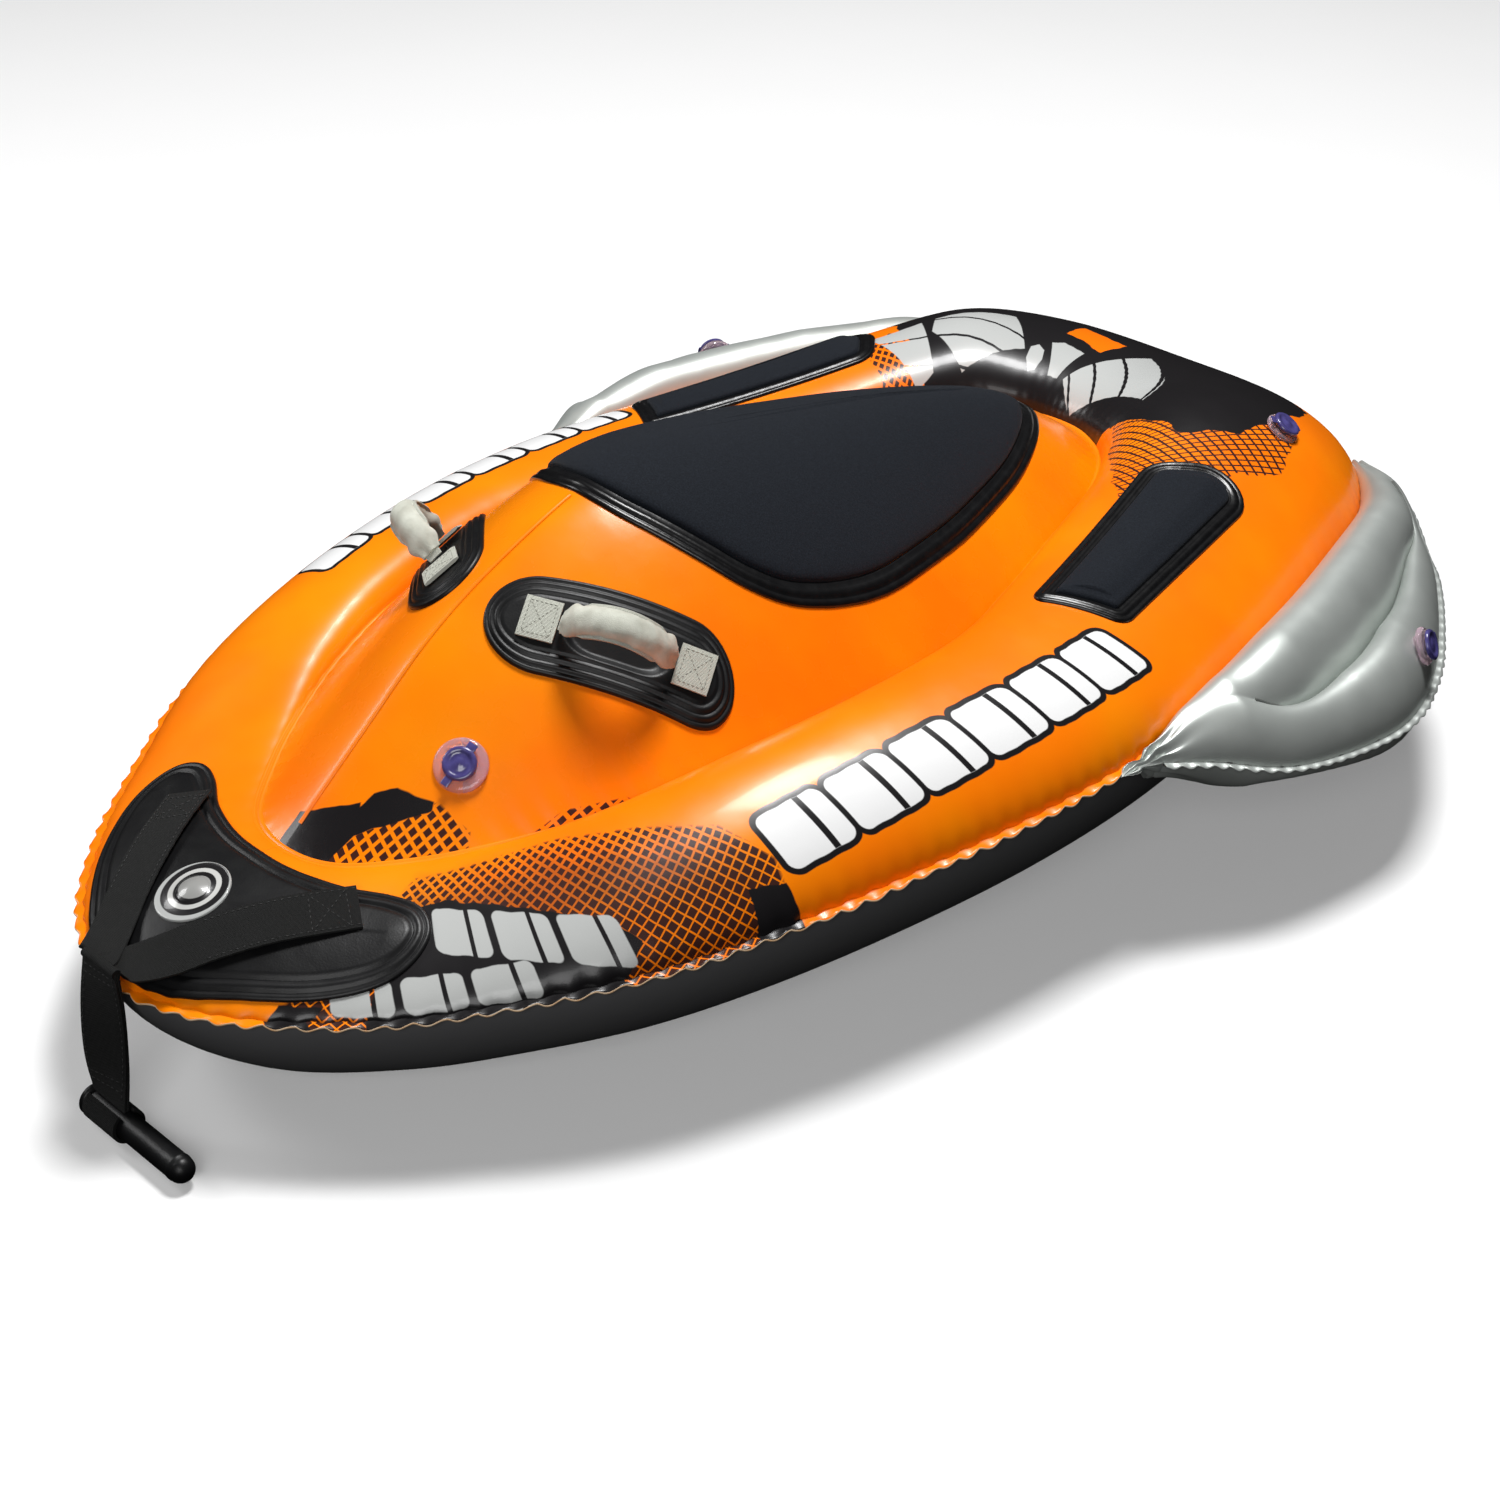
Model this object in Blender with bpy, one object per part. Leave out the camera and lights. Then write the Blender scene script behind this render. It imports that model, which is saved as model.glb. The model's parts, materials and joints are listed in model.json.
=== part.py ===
"""Towable tube: a single-rider inflatable shaped like a small watercraft.

Units are metres, +Z is up, the bow points to -Y and the port side is +X. The flat
bottom of the hull lies on Z = 0 and the craft is symmetric about the plane X = 0.

The air chambers are thin skins joined by flat weld strips. The outline of the craft is
drawn by matching stations from the bow (station 0) round the port side to the stern, and
mirrored to starboard: the seam where deck and hull meet, the gutter between the deck
ring and the centre body, and the edge of the flat bottom.
"""

import math

import bmesh
import bpy
import numpy as np
from mathutils import Matrix, Vector
from mathutils.bvhtree import BVHTree

# ---------------------------------------------------------------- driving dimensions

SKIN = 0.0015            # thickness of the coated fabric of every chamber
GAP = 0.0003             # clearance between neighbouring pieces
WELD_T = 0.003           # thickness of the weld strips
RIM_OUT = 0.012          # the seam strip stands out this far from the deck
RIM_IN = 0.008           # and reaches this far inside
GUTTER_HALF = 0.007      # half width of the gutter weld strip
GUTTER_SPLIT = 0.004     # the two skins stop this far from the gutter line
EDGE = 0.0014            # the sloping end of a skin stands this far off its weld strip

# Stations, port half. Seam and gutter: x, y, z. Bottom edge: x, y.
SEAM = [(0.000, -0.784, 0.141), (0.108, -0.750, 0.141), (0.208, -0.664, 0.143),
        (0.279, -0.573, 0.151), (0.353, -0.457, 0.166), (0.405, -0.307, 0.179),
        (0.441, -0.130, 0.190), (0.457, 0.030, 0.196), (0.449, 0.190, 0.197),
        (0.417, 0.360, 0.196), (0.369, 0.530, 0.193), (0.308, 0.686, 0.190),
        (0.195, 0.800, 0.187), (0.000, 0.836, 0.186)]
GUTTER = [(0.000, -0.598, 0.195), (0.060, -0.582, 0.196), (0.115, -0.525, 0.202),
          (0.160, -0.460, 0.212), (0.205, -0.375, 0.226), (0.240, -0.265, 0.243),
          (0.262, -0.110, 0.253), (0.254, 0.045, 0.254), (0.218, 0.170, 0.257),
          (0.178, 0.290, 0.262), (0.142, 0.395, 0.266), (0.098, 0.468, 0.269),
          (0.048, 0.505, 0.270), (0.000, 0.515, 0.270)]
BOTTOM = [(0.000, -0.610), (0.078, -0.585), (0.132, -0.508), (0.170, -0.420),
          (0.200, -0.322), (0.222, -0.206), (0.236, -0.070), (0.242, 0.080),
          (0.242, 0.230), (0.232, 0.360), (0.208, 0.480), (0.168, 0.590),
          (0.100, 0.655), (0.000, 0.675)]
# How far the deck ring swells above the straight line from seam to gutter.
SWELL = [0.022, 0.020, 0.018, 0.026, 0.042, 0.054, 0.060,
         0.061, 0.062, 0.070, 0.085, 0.101, 0.089, 0.079]
# Spine of the centre body, from the tip of the hood over the seat to its aft end: y, z.
SPINE = [(-0.598, 0.195), (-0.555, 0.232), (-0.500, 0.277), (-0.416, 0.345),
         (-0.324, 0.397), (-0.226, 0.437), (-0.140, 0.449), (-0.030, 0.436),
         (0.090, 0.414), (0.200, 0.392), (0.310, 0.364), (0.400, 0.335),
         (0.460, 0.305), (0.515, 0.270)]
BILGE = 1.2              # roundness of the bilge: 1 is an ellipse, more is slacker
HOOD_POWER = 1.35        # section exponent of the hood: nearly a gable
SEAT_POWER = 1.75        # section exponent of the seat: rounder

LOOP = 56                # vertices round the craft
DECK_ROWS = 7
BODY_ROWS = 6
HULL_ROWS = 5

# Pads
PAD_BORDER_T = 0.0035
PAD_FOAM_T = 0.008
PAD_BORDER_W = 0.020
SEAT_HALF = [(0.000, -0.226), (0.045, -0.218), (0.085, -0.200), (0.125, -0.176),
             (0.162, -0.147), (0.188, -0.108), (0.202, -0.045), (0.201, 0.025),
             (0.180, 0.125), (0.149, 0.225), (0.115, 0.312), (0.072, 0.386),
             (0.028, 0.432), (0.000, 0.440)]
KNEE_CORNERS = [(0.284, 0.124), (0.369, 0.176), (0.298, 0.519), (0.202, 0.413)]
KNEE_RADII = [0.012, 0.022, 0.045, 0.040]
KNEE_INNER_RADII = [0.006, 0.008, 0.028, 0.024]
KNEE_BORDER_W = 0.018

# Nose
NOSE_PATCH_T = 0.004
NOSE_HALF = [(0.000, -0.782), (0.060, -0.770), (0.113, -0.736), (0.163, -0.692),
             (0.197, -0.645), (0.206, -0.608), (0.196, -0.578), (0.170, -0.566),
             (0.138, -0.575), (0.095, -0.600), (0.045, -0.616), (0.000, -0.620)]
STRAP_W = 0.050
STRAP_T = 0.0025
STRAP_END = (0.134, -0.604)
STRAP_START = (0.012, -0.790)
BADGE_R = 0.035
BADGE_T = 0.003
BADGE_Y = -0.694

# Tow strap and toggle
TOW_TOP = (0.010, -0.8030, 0.176)  # the fold where the strap leaves the nose
TOW_FOOT = (0.017, -0.817)      # x, y of the toggle, lying on the floor
TOW_T = 0.005
TOGGLE_R = 0.013
TOGGLE_CLEAR = 0.0008
LOOP_T = 0.0035
TOGGLE_X = (-0.034, 0.120)      # from the collar end to the round end
COLLAR_R = 0.0165

# Handles, port side. Ends of the webbing on the hood: x, y.
HANDLE_FORE = (0.070, -0.333)
HANDLE_AFT = (0.180, -0.242)
PATCH_T = 0.006
PATCH_HALF_W = 0.038
PATCH_OVERHANG = (0.054, 0.040)  # beyond the fore and the aft end of the webbing
TAB = (0.036, 0.042, 0.0035)    # length, width, thickness
WEB_W = 0.036
WEB_T = 0.0035
WEB_END_W = 0.014               # the webbing is folded narrow where it meets its tabs
WEB_FOOT = 0.005                # height of its ends above the patch, on the swing axis
HANDLE_RISE = 0.048
SLEEVE_R = 0.017
SLEEVE_LENGTH = 0.096

# Sponsons, port side: outer rim, x, y, z, from the front tip to the aft tip.
SPONSON_RIM = [(0.477, 0.110, 0.193), (0.504, 0.160, 0.184), (0.547, 0.232, 0.167),
               (0.567, 0.334, 0.157), (0.565, 0.419, 0.156), (0.522, 0.524, 0.158),
               (0.443, 0.640, 0.171), (0.391, 0.691, 0.180), (0.313, 0.763, 0.191),
               (0.240, 0.800, 0.193)]
SPONSON_STATIONS = (7.42, 11.75)  # the stretch of the seam that the sponson is welded to
SPONSON_STEPS = 18
LOBE_STEPS = 4
LOBE_ROUND = 0.66               # height of a lobe over its width
LONE_ROUND = 0.66               # the same near the ends, where there is one lobe
LOBE_MAX = 0.058
SPONSON_WELD_TOP = 0.20         # angle up the deck's flank of the upper weld
SPONSON_WELD_UNDER = 0.16       # angle down the hull's flank of the lower weld
SPONSON_CLEAR = 0.0025          # the welded edges stand this far off the flank
VALLEY_RISE = 0.034             # the weld between the lobes lies this far above the rim
# How far along the sponson, and there the share of the way from the hull to the rim at which
# the weld lies.
VALLEY_SPLIT = [(0.0, 0.74), (0.22, 0.70), (0.36, 0.59), (0.50, 0.56), (0.66, 0.66), (0.80, 0.84),
                (1.0, 0.92)]
SPONSON_RIM_W = 0.011
FLANGE_CLEAR = 0.0006           # the flange starts this far outside the two skins

# Valves: outer ring, barrel, bore, cap
VALVE_RING_R = 0.026     # the hood's valve
VALVE_SMALL_R = 0.020    # the stern's and the sponsons'
VALVE_SMALL_LIFT = 0.004 # their flat rings stand this far off the curved skin
VALVE_RING_T = 0.004
BARREL_R = 0.0125
BORE_R = 0.0095
BARREL_LENGTH = 0.020
CAP_R = 0.0165
CAP_T = 0.0045
PLUG_R = 0.0080
PLUG_LENGTH = 0.0035
TETHER_W = 0.008
FLAP_T = 0.001
VALVE_SEGMENTS = 14
HOOD_VALVE = (0.094, -0.455)
STERN_VALVE = (0.243, 0.602)
SPONSON_VALVE = (0.50, 0.84)    # along the sponson, across it (0 inboard, 1 rim)

ORANGE = (1.0, 0.30, 0.005)
DARK = (0.045, 0.045, 0.048)
SILVER = (0.30, 0.33, 0.30)
BLACK = (0.012, 0.012, 0.013)
FOAM = (0.008, 0.010, 0.016)
WEBBING = (0.68, 0.64, 0.55)
BLUE = (0.09, 0.08, 0.35)
CLEAR = (0.55, 0.45, 0.50)


# ---------------------------------------------------------------- curves and surfaces

def spline(points, where, closed=False):
    """Catmull-Rom curve through points, read at the station numbers in where."""
    pts = np.array(points, float)
    n = len(pts)
    out = []
    for w in np.atleast_1d(where):
        i = int(math.floor(w))
        if not closed:
            i = min(max(i, 0), n - 2)
        t = w - i
        if closed:
            p0, p1, p2, p3 = (pts[(i + k) % n] for k in (-1, 0, 1, 2))
        else:
            p1, p2 = pts[i], pts[i + 1]
            p0 = pts[i - 1] if i > 0 else 2 * p1 - p2
            p3 = pts[i + 2] if i + 2 < n else 2 * p2 - p1
        out.append(0.5 * (2 * p1 + (p2 - p0) * t + (2 * p0 - 5 * p1 + 4 * p2 - p3) * t ** 2
                          + (3 * p1 - p0 - 3 * p2 + p3) * t ** 3))
    return np.array(out)


def mirrored(half):
    """Close a port half, whose ends lie on the centreline, with its mirror image."""
    half = [tuple(p) for p in half]
    return half + [(-p[0],) + p[1:] for p in half[-2:0:-1]]


def around(half, stations):
    return spline(mirrored(half), stations, closed=True)


def even_stations():
    """Station numbers that split the seam into LOOP stretches of about equal length."""
    total = 2 * (len(SEAM) - 1)
    fine = np.linspace(0, total / 2, 801)
    curve = around(SEAM, fine)
    run = np.concatenate([[0], np.cumsum(np.linalg.norm(np.diff(curve, axis=0), axis=1))])
    half = np.interp(np.linspace(0, run[-1], LOOP // 2 + 1), run, fine)
    return np.concatenate([half, total - half[-2:0:-1]])


STATIONS = even_stations()
SEAM_LOOP = around(SEAM, STATIONS)
GUTTER_LOOP = around(GUTTER, STATIONS)
BOTTOM_LOOP = around([p + (0.0,) for p in BOTTOM], STATIONS)


def side_normals(loop):
    """Unit normals in plan, pointing out of a closed loop that runs bow to port to stern."""
    step = np.roll(loop, -1, axis=0) - np.roll(loop, 1, axis=0)
    out = np.stack([step[:, 1], -step[:, 0], np.zeros(len(loop))], axis=1)
    return out / np.linalg.norm(out, axis=1)[:, None]


def moved(loop, distance, lift=0.0):
    return loop + side_normals(loop) * distance + np.array([0, 0, lift])


def swell_at(stations):
    return around([(0.0, s) for s in SWELL], stations)[:, 1]


def deck_rows(rows=DECK_ROWS):
    """Rows of the deck ring, from the seam up over the crest and down to the gutter."""
    outer = SEAM_LOOP + np.array([0, 0, WELD_T / 2 + EDGE])
    inner = moved(GUTTER_LOOP, GUTTER_SPLIT, EDGE)
    swell = swell_at(STATIONS)
    out = []
    for k in range(rows + 1):
        angle = math.pi * k / rows
        share = (1 - math.cos(angle)) / 2
        row = outer + (inner - outer) * share
        row[:, 2] += swell * math.sin(angle)
        out.append(row)
    return out


def body_height(x, y):
    """Height of the centre body above the plan point x, y."""
    half = len(GUTTER_LOOP) // 2 + 1
    gy = GUTTER_LOOP[:half, 1]
    width = np.interp(y, gy, GUTTER_LOOP[:half, 0])
    base = np.interp(y, gy, GUTTER_LOOP[:half, 2])
    top = spine_height(y)
    blend = min(max((y + 0.40) / 0.30, 0.0), 1.0)
    power = HOOD_POWER + (SEAT_POWER - HOOD_POWER) * blend * blend * (3 - 2 * blend)
    share = min(abs(x) / max(width, 1e-6), 1.0)
    return base + (top - base) * (1 - share ** power)


def spine_height(y):
    fine = spline(SPINE, np.linspace(0, len(SPINE) - 1, 400))
    return float(np.interp(y, fine[:, 0], fine[:, 1]))


def ribs_to_spine(loop, ends, rows):
    """Rows that run from a loop to the centreline; port and starboard share the last row."""
    count = len(loop)
    half = count // 2
    place = np.minimum(np.arange(count), count - np.arange(count)) / half
    ease = place + 0.06 * np.sin(2 * np.pi * place) * -1
    spine = np.stack([np.zeros(count), ends[0] + (ends[1] - ends[0]) * ease,
                      np.zeros(count)], axis=1)
    return [loop + (spine - loop) * (k / rows) for k in range(rows + 1)]


def body_rows():
    edge = moved(GUTTER_LOOP, -GUTTER_SPLIT)
    rows = ribs_to_spine(edge, (-0.548, 0.462), BODY_ROWS)
    for row in rows:
        for p in row:
            p[2] = body_height(p[0], p[1]) + EDGE
    rows[0][:, 2] = GUTTER_LOOP[:, 2] + EDGE
    return rows


def hull_rows():
    """Rows of the lower skin: from the seam round the bilge, then across the flat bottom."""
    top = SEAM_LOOP - np.array([0, 0, WELD_T / 2 + EDGE])
    rows = []
    for k in range(HULL_ROWS + 1):
        angle = 0.5 * math.pi * k / HULL_ROWS
        row = BOTTOM_LOOP + (top - BOTTOM_LOOP) * max(math.cos(angle), 0.0) ** BILGE
        row[:, 2] = top[:, 2] * (1 - math.sin(angle) ** BILGE)
        rows.append(row)
    return rows + ribs_to_spine(BOTTOM_LOOP, (-0.50, 0.55), 2)[1:]


def plan_out(stations):
    """Unit normals of the seam in plan, pointing outboard, at the given stations."""
    step = around(SEAM, stations + 0.05) - around(SEAM, stations - 0.05)
    out = np.stack([step[:, 1], -step[:, 0], np.zeros(len(stations))], axis=1)
    return out / np.linalg.norm(out, axis=1)[:, None]


def sponson_edges(side, up):
    """Inboard edge and outer rim of a sponson's skin, at SPONSON_STEPS + 1 places.

    The upper skin (up = 1) is welded to the deck's flank above the seam strip, and the
    lower skin (up = -1) to the hull's flank below it.
    """
    u = np.linspace(SPONSON_STATIONS[0], SPONSON_STATIONS[1], SPONSON_STEPS + 1)
    seam = around(SEAM, u)
    if up > 0:
        gutter = around(GUTTER, u)
        share = (1 - math.cos(SPONSON_WELD_TOP)) / 2
        inner = seam + (gutter - seam) * share
        inner[:, 2] += swell_at(u) * math.sin(SPONSON_WELD_TOP) + WELD_T / 2
    else:
        flat = around([p + (0.0,) for p in BOTTOM], u)
        inner = flat + (seam - flat) * math.cos(SPONSON_WELD_UNDER) ** BILGE
        inner[:, 2] = seam[:, 2] * (1 - math.sin(SPONSON_WELD_UNDER) ** BILGE) - WELD_T / 2
    inner = inner + plan_out(u) * SPONSON_CLEAR
    rim = spline(SPONSON_RIM, np.linspace(0, len(SPONSON_RIM) - 1, SPONSON_STEPS + 1))
    flip = np.array([side, 1, 1])
    return inner * flip, rim * flip


def eased(value, low, high):
    """0 below low, 1 above high, with a smooth change between."""
    t = min(max((value - low) / (high - low), 0.0), 1.0)
    return t * t * (3 - 2 * t)


def sponson_point(inner, rim, i, across, up):
    """Point of a sponson's skin. across is 0 inboard, 1 at the rim; up is 1 or -1.

    Near its ends the section is one lobe; between them a welded valley parts it into two.
    """
    s = i / SPONSON_STEPS
    a, b = np.array(inner[int(i)]), np.array(rim[int(i)])
    a = b + (a - b) * (0.74 + 0.26 * eased(s, 0.0, 0.10))
    parted = eased(s, 0.12, 0.30) * (1 - eased(s, 0.72, 0.92))
    swelling = 0.25 + 0.75 * math.sin(math.pi * s) ** 0.35
    valley = a + (b - a) * np.interp(s, *np.array(VALLEY_SPLIT).T)
    valley[2] = b[2] + VALLEY_RISE
    if across <= 0.5:
        lo, hi, share = a, valley, across * 2
    else:
        lo, hi, share = valley, b, across * 2 - 1
    height = min(LOBE_ROUND * np.linalg.norm((hi - lo)[:2]), LOBE_MAX) * swelling
    angle = math.pi * share
    two = lo + (hi - lo) * (1 - math.cos(angle)) / 2
    two[2] += up * height * math.sin(angle)
    height = min(LONE_ROUND * np.linalg.norm((b - a)[:2]), LOBE_MAX) * swelling
    one = a + (b - a) * (1 - math.cos(math.pi * across)) / 2
    one[2] += up * height * math.sin(math.pi * across)
    p = one + (two - one) * parted
    p[2] += up * (WELD_T / 2 + EDGE) * (1 if across > 0.5 else 2 * across)
    return p


# ---------------------------------------------------------------- building blocks

def clear_scene():
    for obj in list(bpy.data.objects):
        bpy.data.objects.remove(obj, do_unlink=True)


def material(name, colour, roughness, metallic=0.0):
    mat = bpy.data.materials.new(name)
    mat.use_nodes = True
    shader = mat.node_tree.nodes["Principled BSDF"]
    shader.inputs["Base Color"].default_value = (*colour, 1.0)
    shader.inputs["Roughness"].default_value = roughness
    shader.inputs["Metallic"].default_value = metallic
    return mat


def new_object(name, bm, colour, roughness, smooth=True):
    bmesh.ops.recalc_face_normals(bm, faces=bm.faces)
    mesh = bpy.data.meshes.new(name)
    bm.to_mesh(mesh)
    bm.free()
    if smooth:
        mesh.shade_smooth()
        mesh.set_sharp_from_angle(angle=math.radians(40))
    obj = bpy.data.objects.new(name, mesh)
    obj.data.materials.append(material(name, colour, roughness))
    bpy.context.scene.collection.objects.link(obj)
    return obj


def guide(obj):
    obj.hide_render = True
    obj.display_type = 'WIRE'
    return obj


def cut(obj, cutter, operation='DIFFERENCE'):
    mod = obj.modifiers.new("cut_" + cutter.name, 'BOOLEAN')
    mod.operation = operation
    mod.object = cutter
    mod.solver = 'EXACT'


def grid(rows, closed_row=False, shared_last=False):
    """Triangulated sheet. shared_last: the last row is a centreline that both sides share."""
    bm = bmesh.new()
    count = len(rows[0])
    verts = []
    for r, row in enumerate(rows):
        line = []
        for i, p in enumerate(row):
            mate = (count - i) % count
            if shared_last and r == len(rows) - 1 and mate < i:
                line.append(line[mate])
            else:
                line.append(bm.verts.new(Vector(p)))
        verts.append(line)
    last = count if closed_row else count - 1
    for a, b in zip(verts[:-1], verts[1:]):
        for i in range(last):
            j = (i + 1) % count
            corners = []
            for v in (a[i], a[j], b[j], b[i]):
                if v not in corners:
                    corners.append(v)
            bm.faces.new(corners)
    bmesh.ops.triangulate(bm, faces=bm.faces, quad_method='SHORT_EDGE')
    return bm


def shell(name, bm, outward, colour, roughness, thickness=SKIN):
    """Give a sheet its thickness on its inner side. outward points away from the chamber."""
    bmesh.ops.recalc_face_normals(bm, faces=bm.faces)
    bm.normal_update()
    probe = max(bm.faces, key=lambda f: abs(f.normal.dot(outward)))
    if probe.normal.dot(outward) < 0:
        bmesh.ops.reverse_faces(bm, faces=bm.faces)
    mesh = bpy.data.meshes.new(name)
    bm.to_mesh(mesh)
    bm.free()
    mesh.shade_smooth()
    obj = bpy.data.objects.new(name, mesh)
    obj.data.materials.append(material(name, colour, roughness))
    bpy.context.scene.collection.objects.link(obj)
    solid = obj.modifiers.new("skin", 'SOLIDIFY')
    solid.thickness = thickness
    solid.offset = -1
    return obj


def layer(name, rows, closed_row, shared_last, low, high, colour, roughness):
    """Closed slab between two offsets of a sheet, measured along the sheet's normals."""
    sheet = grid(rows, closed_row, shared_last)
    bmesh.ops.recalc_face_normals(sheet, faces=sheet.faces)
    sheet.normal_update()
    top = max(sheet.faces, key=lambda f: abs(f.normal.z))
    if top.normal.z < 0:
        bmesh.ops.reverse_faces(sheet, faces=sheet.faces)
    sheet.normal_update()
    for v in sheet.verts:
        v.co += v.normal * high
    mesh = bpy.data.meshes.new(name)
    sheet.to_mesh(mesh)
    sheet.free()
    mesh.shade_smooth()
    obj = bpy.data.objects.new(name, mesh)
    obj.data.materials.append(material(name, colour, roughness))
    bpy.context.scene.collection.objects.link(obj)
    solid = obj.modifiers.new("thickness", 'SOLIDIFY')
    solid.thickness = high - low
    solid.offset = -1
    return obj


def prism(name, outline, z0, z1, hole=None):
    """Upright prism over a plan outline, with an optional hole of the same point count."""
    bm = bmesh.new()
    loops = [outline] if hole is None else [outline, hole]
    levels = [[[bm.verts.new((p[0], p[1], z)) for p in loop] for loop in loops]
              for z in (z0, z1)]
    count = len(outline)
    for k in range(len(loops)):
        for i in range(count):
            j = (i + 1) % count
            bm.faces.new((levels[0][k][i], levels[0][k][j], levels[1][k][j], levels[1][k][i]))
    for level in levels:
        if hole is None:
            bm.faces.new(level[0])
        else:
            for i in range(count):
                j = (i + 1) % count
                bm.faces.new((level[0][i], level[0][j], level[1][j], level[1][i]))
    bmesh.ops.recalc_face_normals(bm, faces=bm.faces)
    mesh = bpy.data.meshes.new(name)
    bm.to_mesh(mesh)
    bm.free()
    obj = bpy.data.objects.new(name, mesh)
    bpy.context.scene.collection.objects.link(obj)
    return guide(obj)


def inset(outline, distance):
    """Move a closed plan outline inwards (anticlockwise or clockwise alike)."""
    pts = np.array(outline, float)
    ahead = np.roll(pts, -1, axis=0) - pts
    behind = pts - np.roll(pts, 1, axis=0)
    out = []
    area = np.sum(pts[:, 0] * np.roll(pts[:, 1], -1) - pts[:, 1] * np.roll(pts[:, 0], -1))
    sign = 1 if area > 0 else -1
    for p, a, b in zip(pts, ahead, behind):
        na = np.array([-a[1], a[0]]) / np.linalg.norm(a)
        nb = np.array([-b[1], b[0]]) / np.linalg.norm(b)
        n = na + nb
        out.append(p + sign * n * distance / max(1 + na @ nb, 0.3))
    return out


def rounded(corners, radii, steps=4):
    """Plan outline with rounded corners."""
    out = []
    count = len(corners)
    for i, (corner, radius) in enumerate(zip(corners, radii)):
        c = np.array(corner)
        a = np.array(corners[i - 1]) - c
        b = np.array(corners[(i + 1) % count]) - c
        a /= np.linalg.norm(a)
        b /= np.linalg.norm(b)
        half = 0.5 * math.acos(max(-1, min(1, a @ b)))
        start = c + a * radius / math.tan(half)
        end = c + b * radius / math.tan(half)
        middle = c + (a + b) / np.linalg.norm(a + b) * radius / math.sin(half)
        t0 = math.atan2(*(start - middle)[::-1])
        t1 = math.atan2(*(end - middle)[::-1])
        turn = (t1 - t0 + math.pi) % (2 * math.pi) - math.pi
        for k in range(steps + 1):
            t = t0 + turn * k / steps
            out.append(tuple(middle + radius * np.array([math.cos(t), math.sin(t)])))
    return out


def smooth_outline(half, count):
    loop = mirrored(half)
    return [tuple(p) for p in spline(loop, np.linspace(0, len(loop), count, endpoint=False),
                                     closed=True)]


def flip(outline, side):
    return [(side * p[0], p[1]) for p in outline]


def band(name, outer, inner, low, high, colour, roughness):
    """Flat ring between two closed loops, from low to high about the loops' own heights."""
    bm = bmesh.new()
    count = len(outer)
    rings = []
    for loop, z in ((outer, low), (outer, high), (inner, high), (inner, low)):
        rings.append([bm.verts.new((p[0], p[1], p[2] + z)) for p in loop])
    for k in range(4):
        a, b = rings[k], rings[(k + 1) % 4]
        for i in range(count):
            j = (i + 1) % count
            bm.faces.new((a[i], a[j], b[j], b[i]))
    return new_object(name, bm, colour, roughness)


def turned(bm, profile, segments=VALVE_SEGMENTS, closed=True):
    """Turn a profile of (radius, z) about Z. closed: the profile is a loop off the axis."""
    rings = []
    for r, z in profile:
        if r < 1e-6:
            rings.append([bm.verts.new((0, 0, z))])
        else:
            rings.append([bm.verts.new((r * math.cos(2 * math.pi * i / segments),
                                        r * math.sin(2 * math.pi * i / segments), z))
                          for i in range(segments)])
    pairs = list(zip(rings, rings[1:] + rings[:1])) if closed else list(zip(rings, rings[1:]))
    for a, b in pairs:
        for i in range(segments):
            j = (i + 1) % segments
            corners = []
            for v in (a[i % len(a)], a[j % len(a)], b[j % len(b)], b[i % len(b)]):
                if v not in corners:
                    corners.append(v)
            if len(corners) > 2:
                bm.faces.new(corners)


def block(bm, low, high):
    made = bmesh.ops.create_cube(bm, size=1.0)
    centre = [(a + b) / 2 for a, b in zip(low, high)]
    size = [b - a for a, b in zip(low, high)]
    for v in made["verts"]:
        v.co = Vector([v.co[k] * size[k] + centre[k] for k in range(3)])


def frame_at(origin, normal, along):
    """Matrix whose Z is the normal and whose X is the nearest direction to along."""
    z = Vector(normal).normalized()
    x = Vector(along)
    x = (x - z * x.dot(z)).normalized()
    y = z.cross(x)
    m = Matrix((x, y, z)).transposed().to_4x4()
    m.translation = Vector(origin)
    return m


# ---------------------------------------------------------------- the hull and deck

def surface_probe(rows, shared_last):
    """Function that gives the point and normal of a sheet above a plan point."""
    bm = grid(rows, closed_row=True, shared_last=shared_last)
    bmesh.ops.recalc_face_normals(bm, faces=bm.faces)
    tree = BVHTree.FromBMesh(bm)
    bm.free()

    def probe(x, y):
        hit, normal, _, _ = tree.ray_cast(Vector((x, y, 2.0)), Vector((0, 0, -1)))
        return hit, normal if normal.z > 0 else -normal
    return probe


def make_hull():
    shell("hull_bottom", grid(hull_rows(), True, True), Vector((0, 0, -1)), DARK, 0.45)
    shell("deck_ring", grid(deck_rows(), True), Vector((0, 0, 1)), ORANGE, 0.25)
    shell("centre_body", grid(body_rows(), True, True), Vector((0, 0, 1)), ORANGE, 0.25)
    band("seam_strip", moved(SEAM_LOOP, RIM_OUT), moved(SEAM_LOOP, -RIM_IN),
         -WELD_T / 2, WELD_T / 2, ORANGE, 0.35)
    band("gutter_strip", moved(GUTTER_LOOP, GUTTER_HALF), moved(GUTTER_LOOP, -GUTTER_HALF),
         -WELD_T - SKIN, -SKIN - GAP, ORANGE, 0.35)


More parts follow.
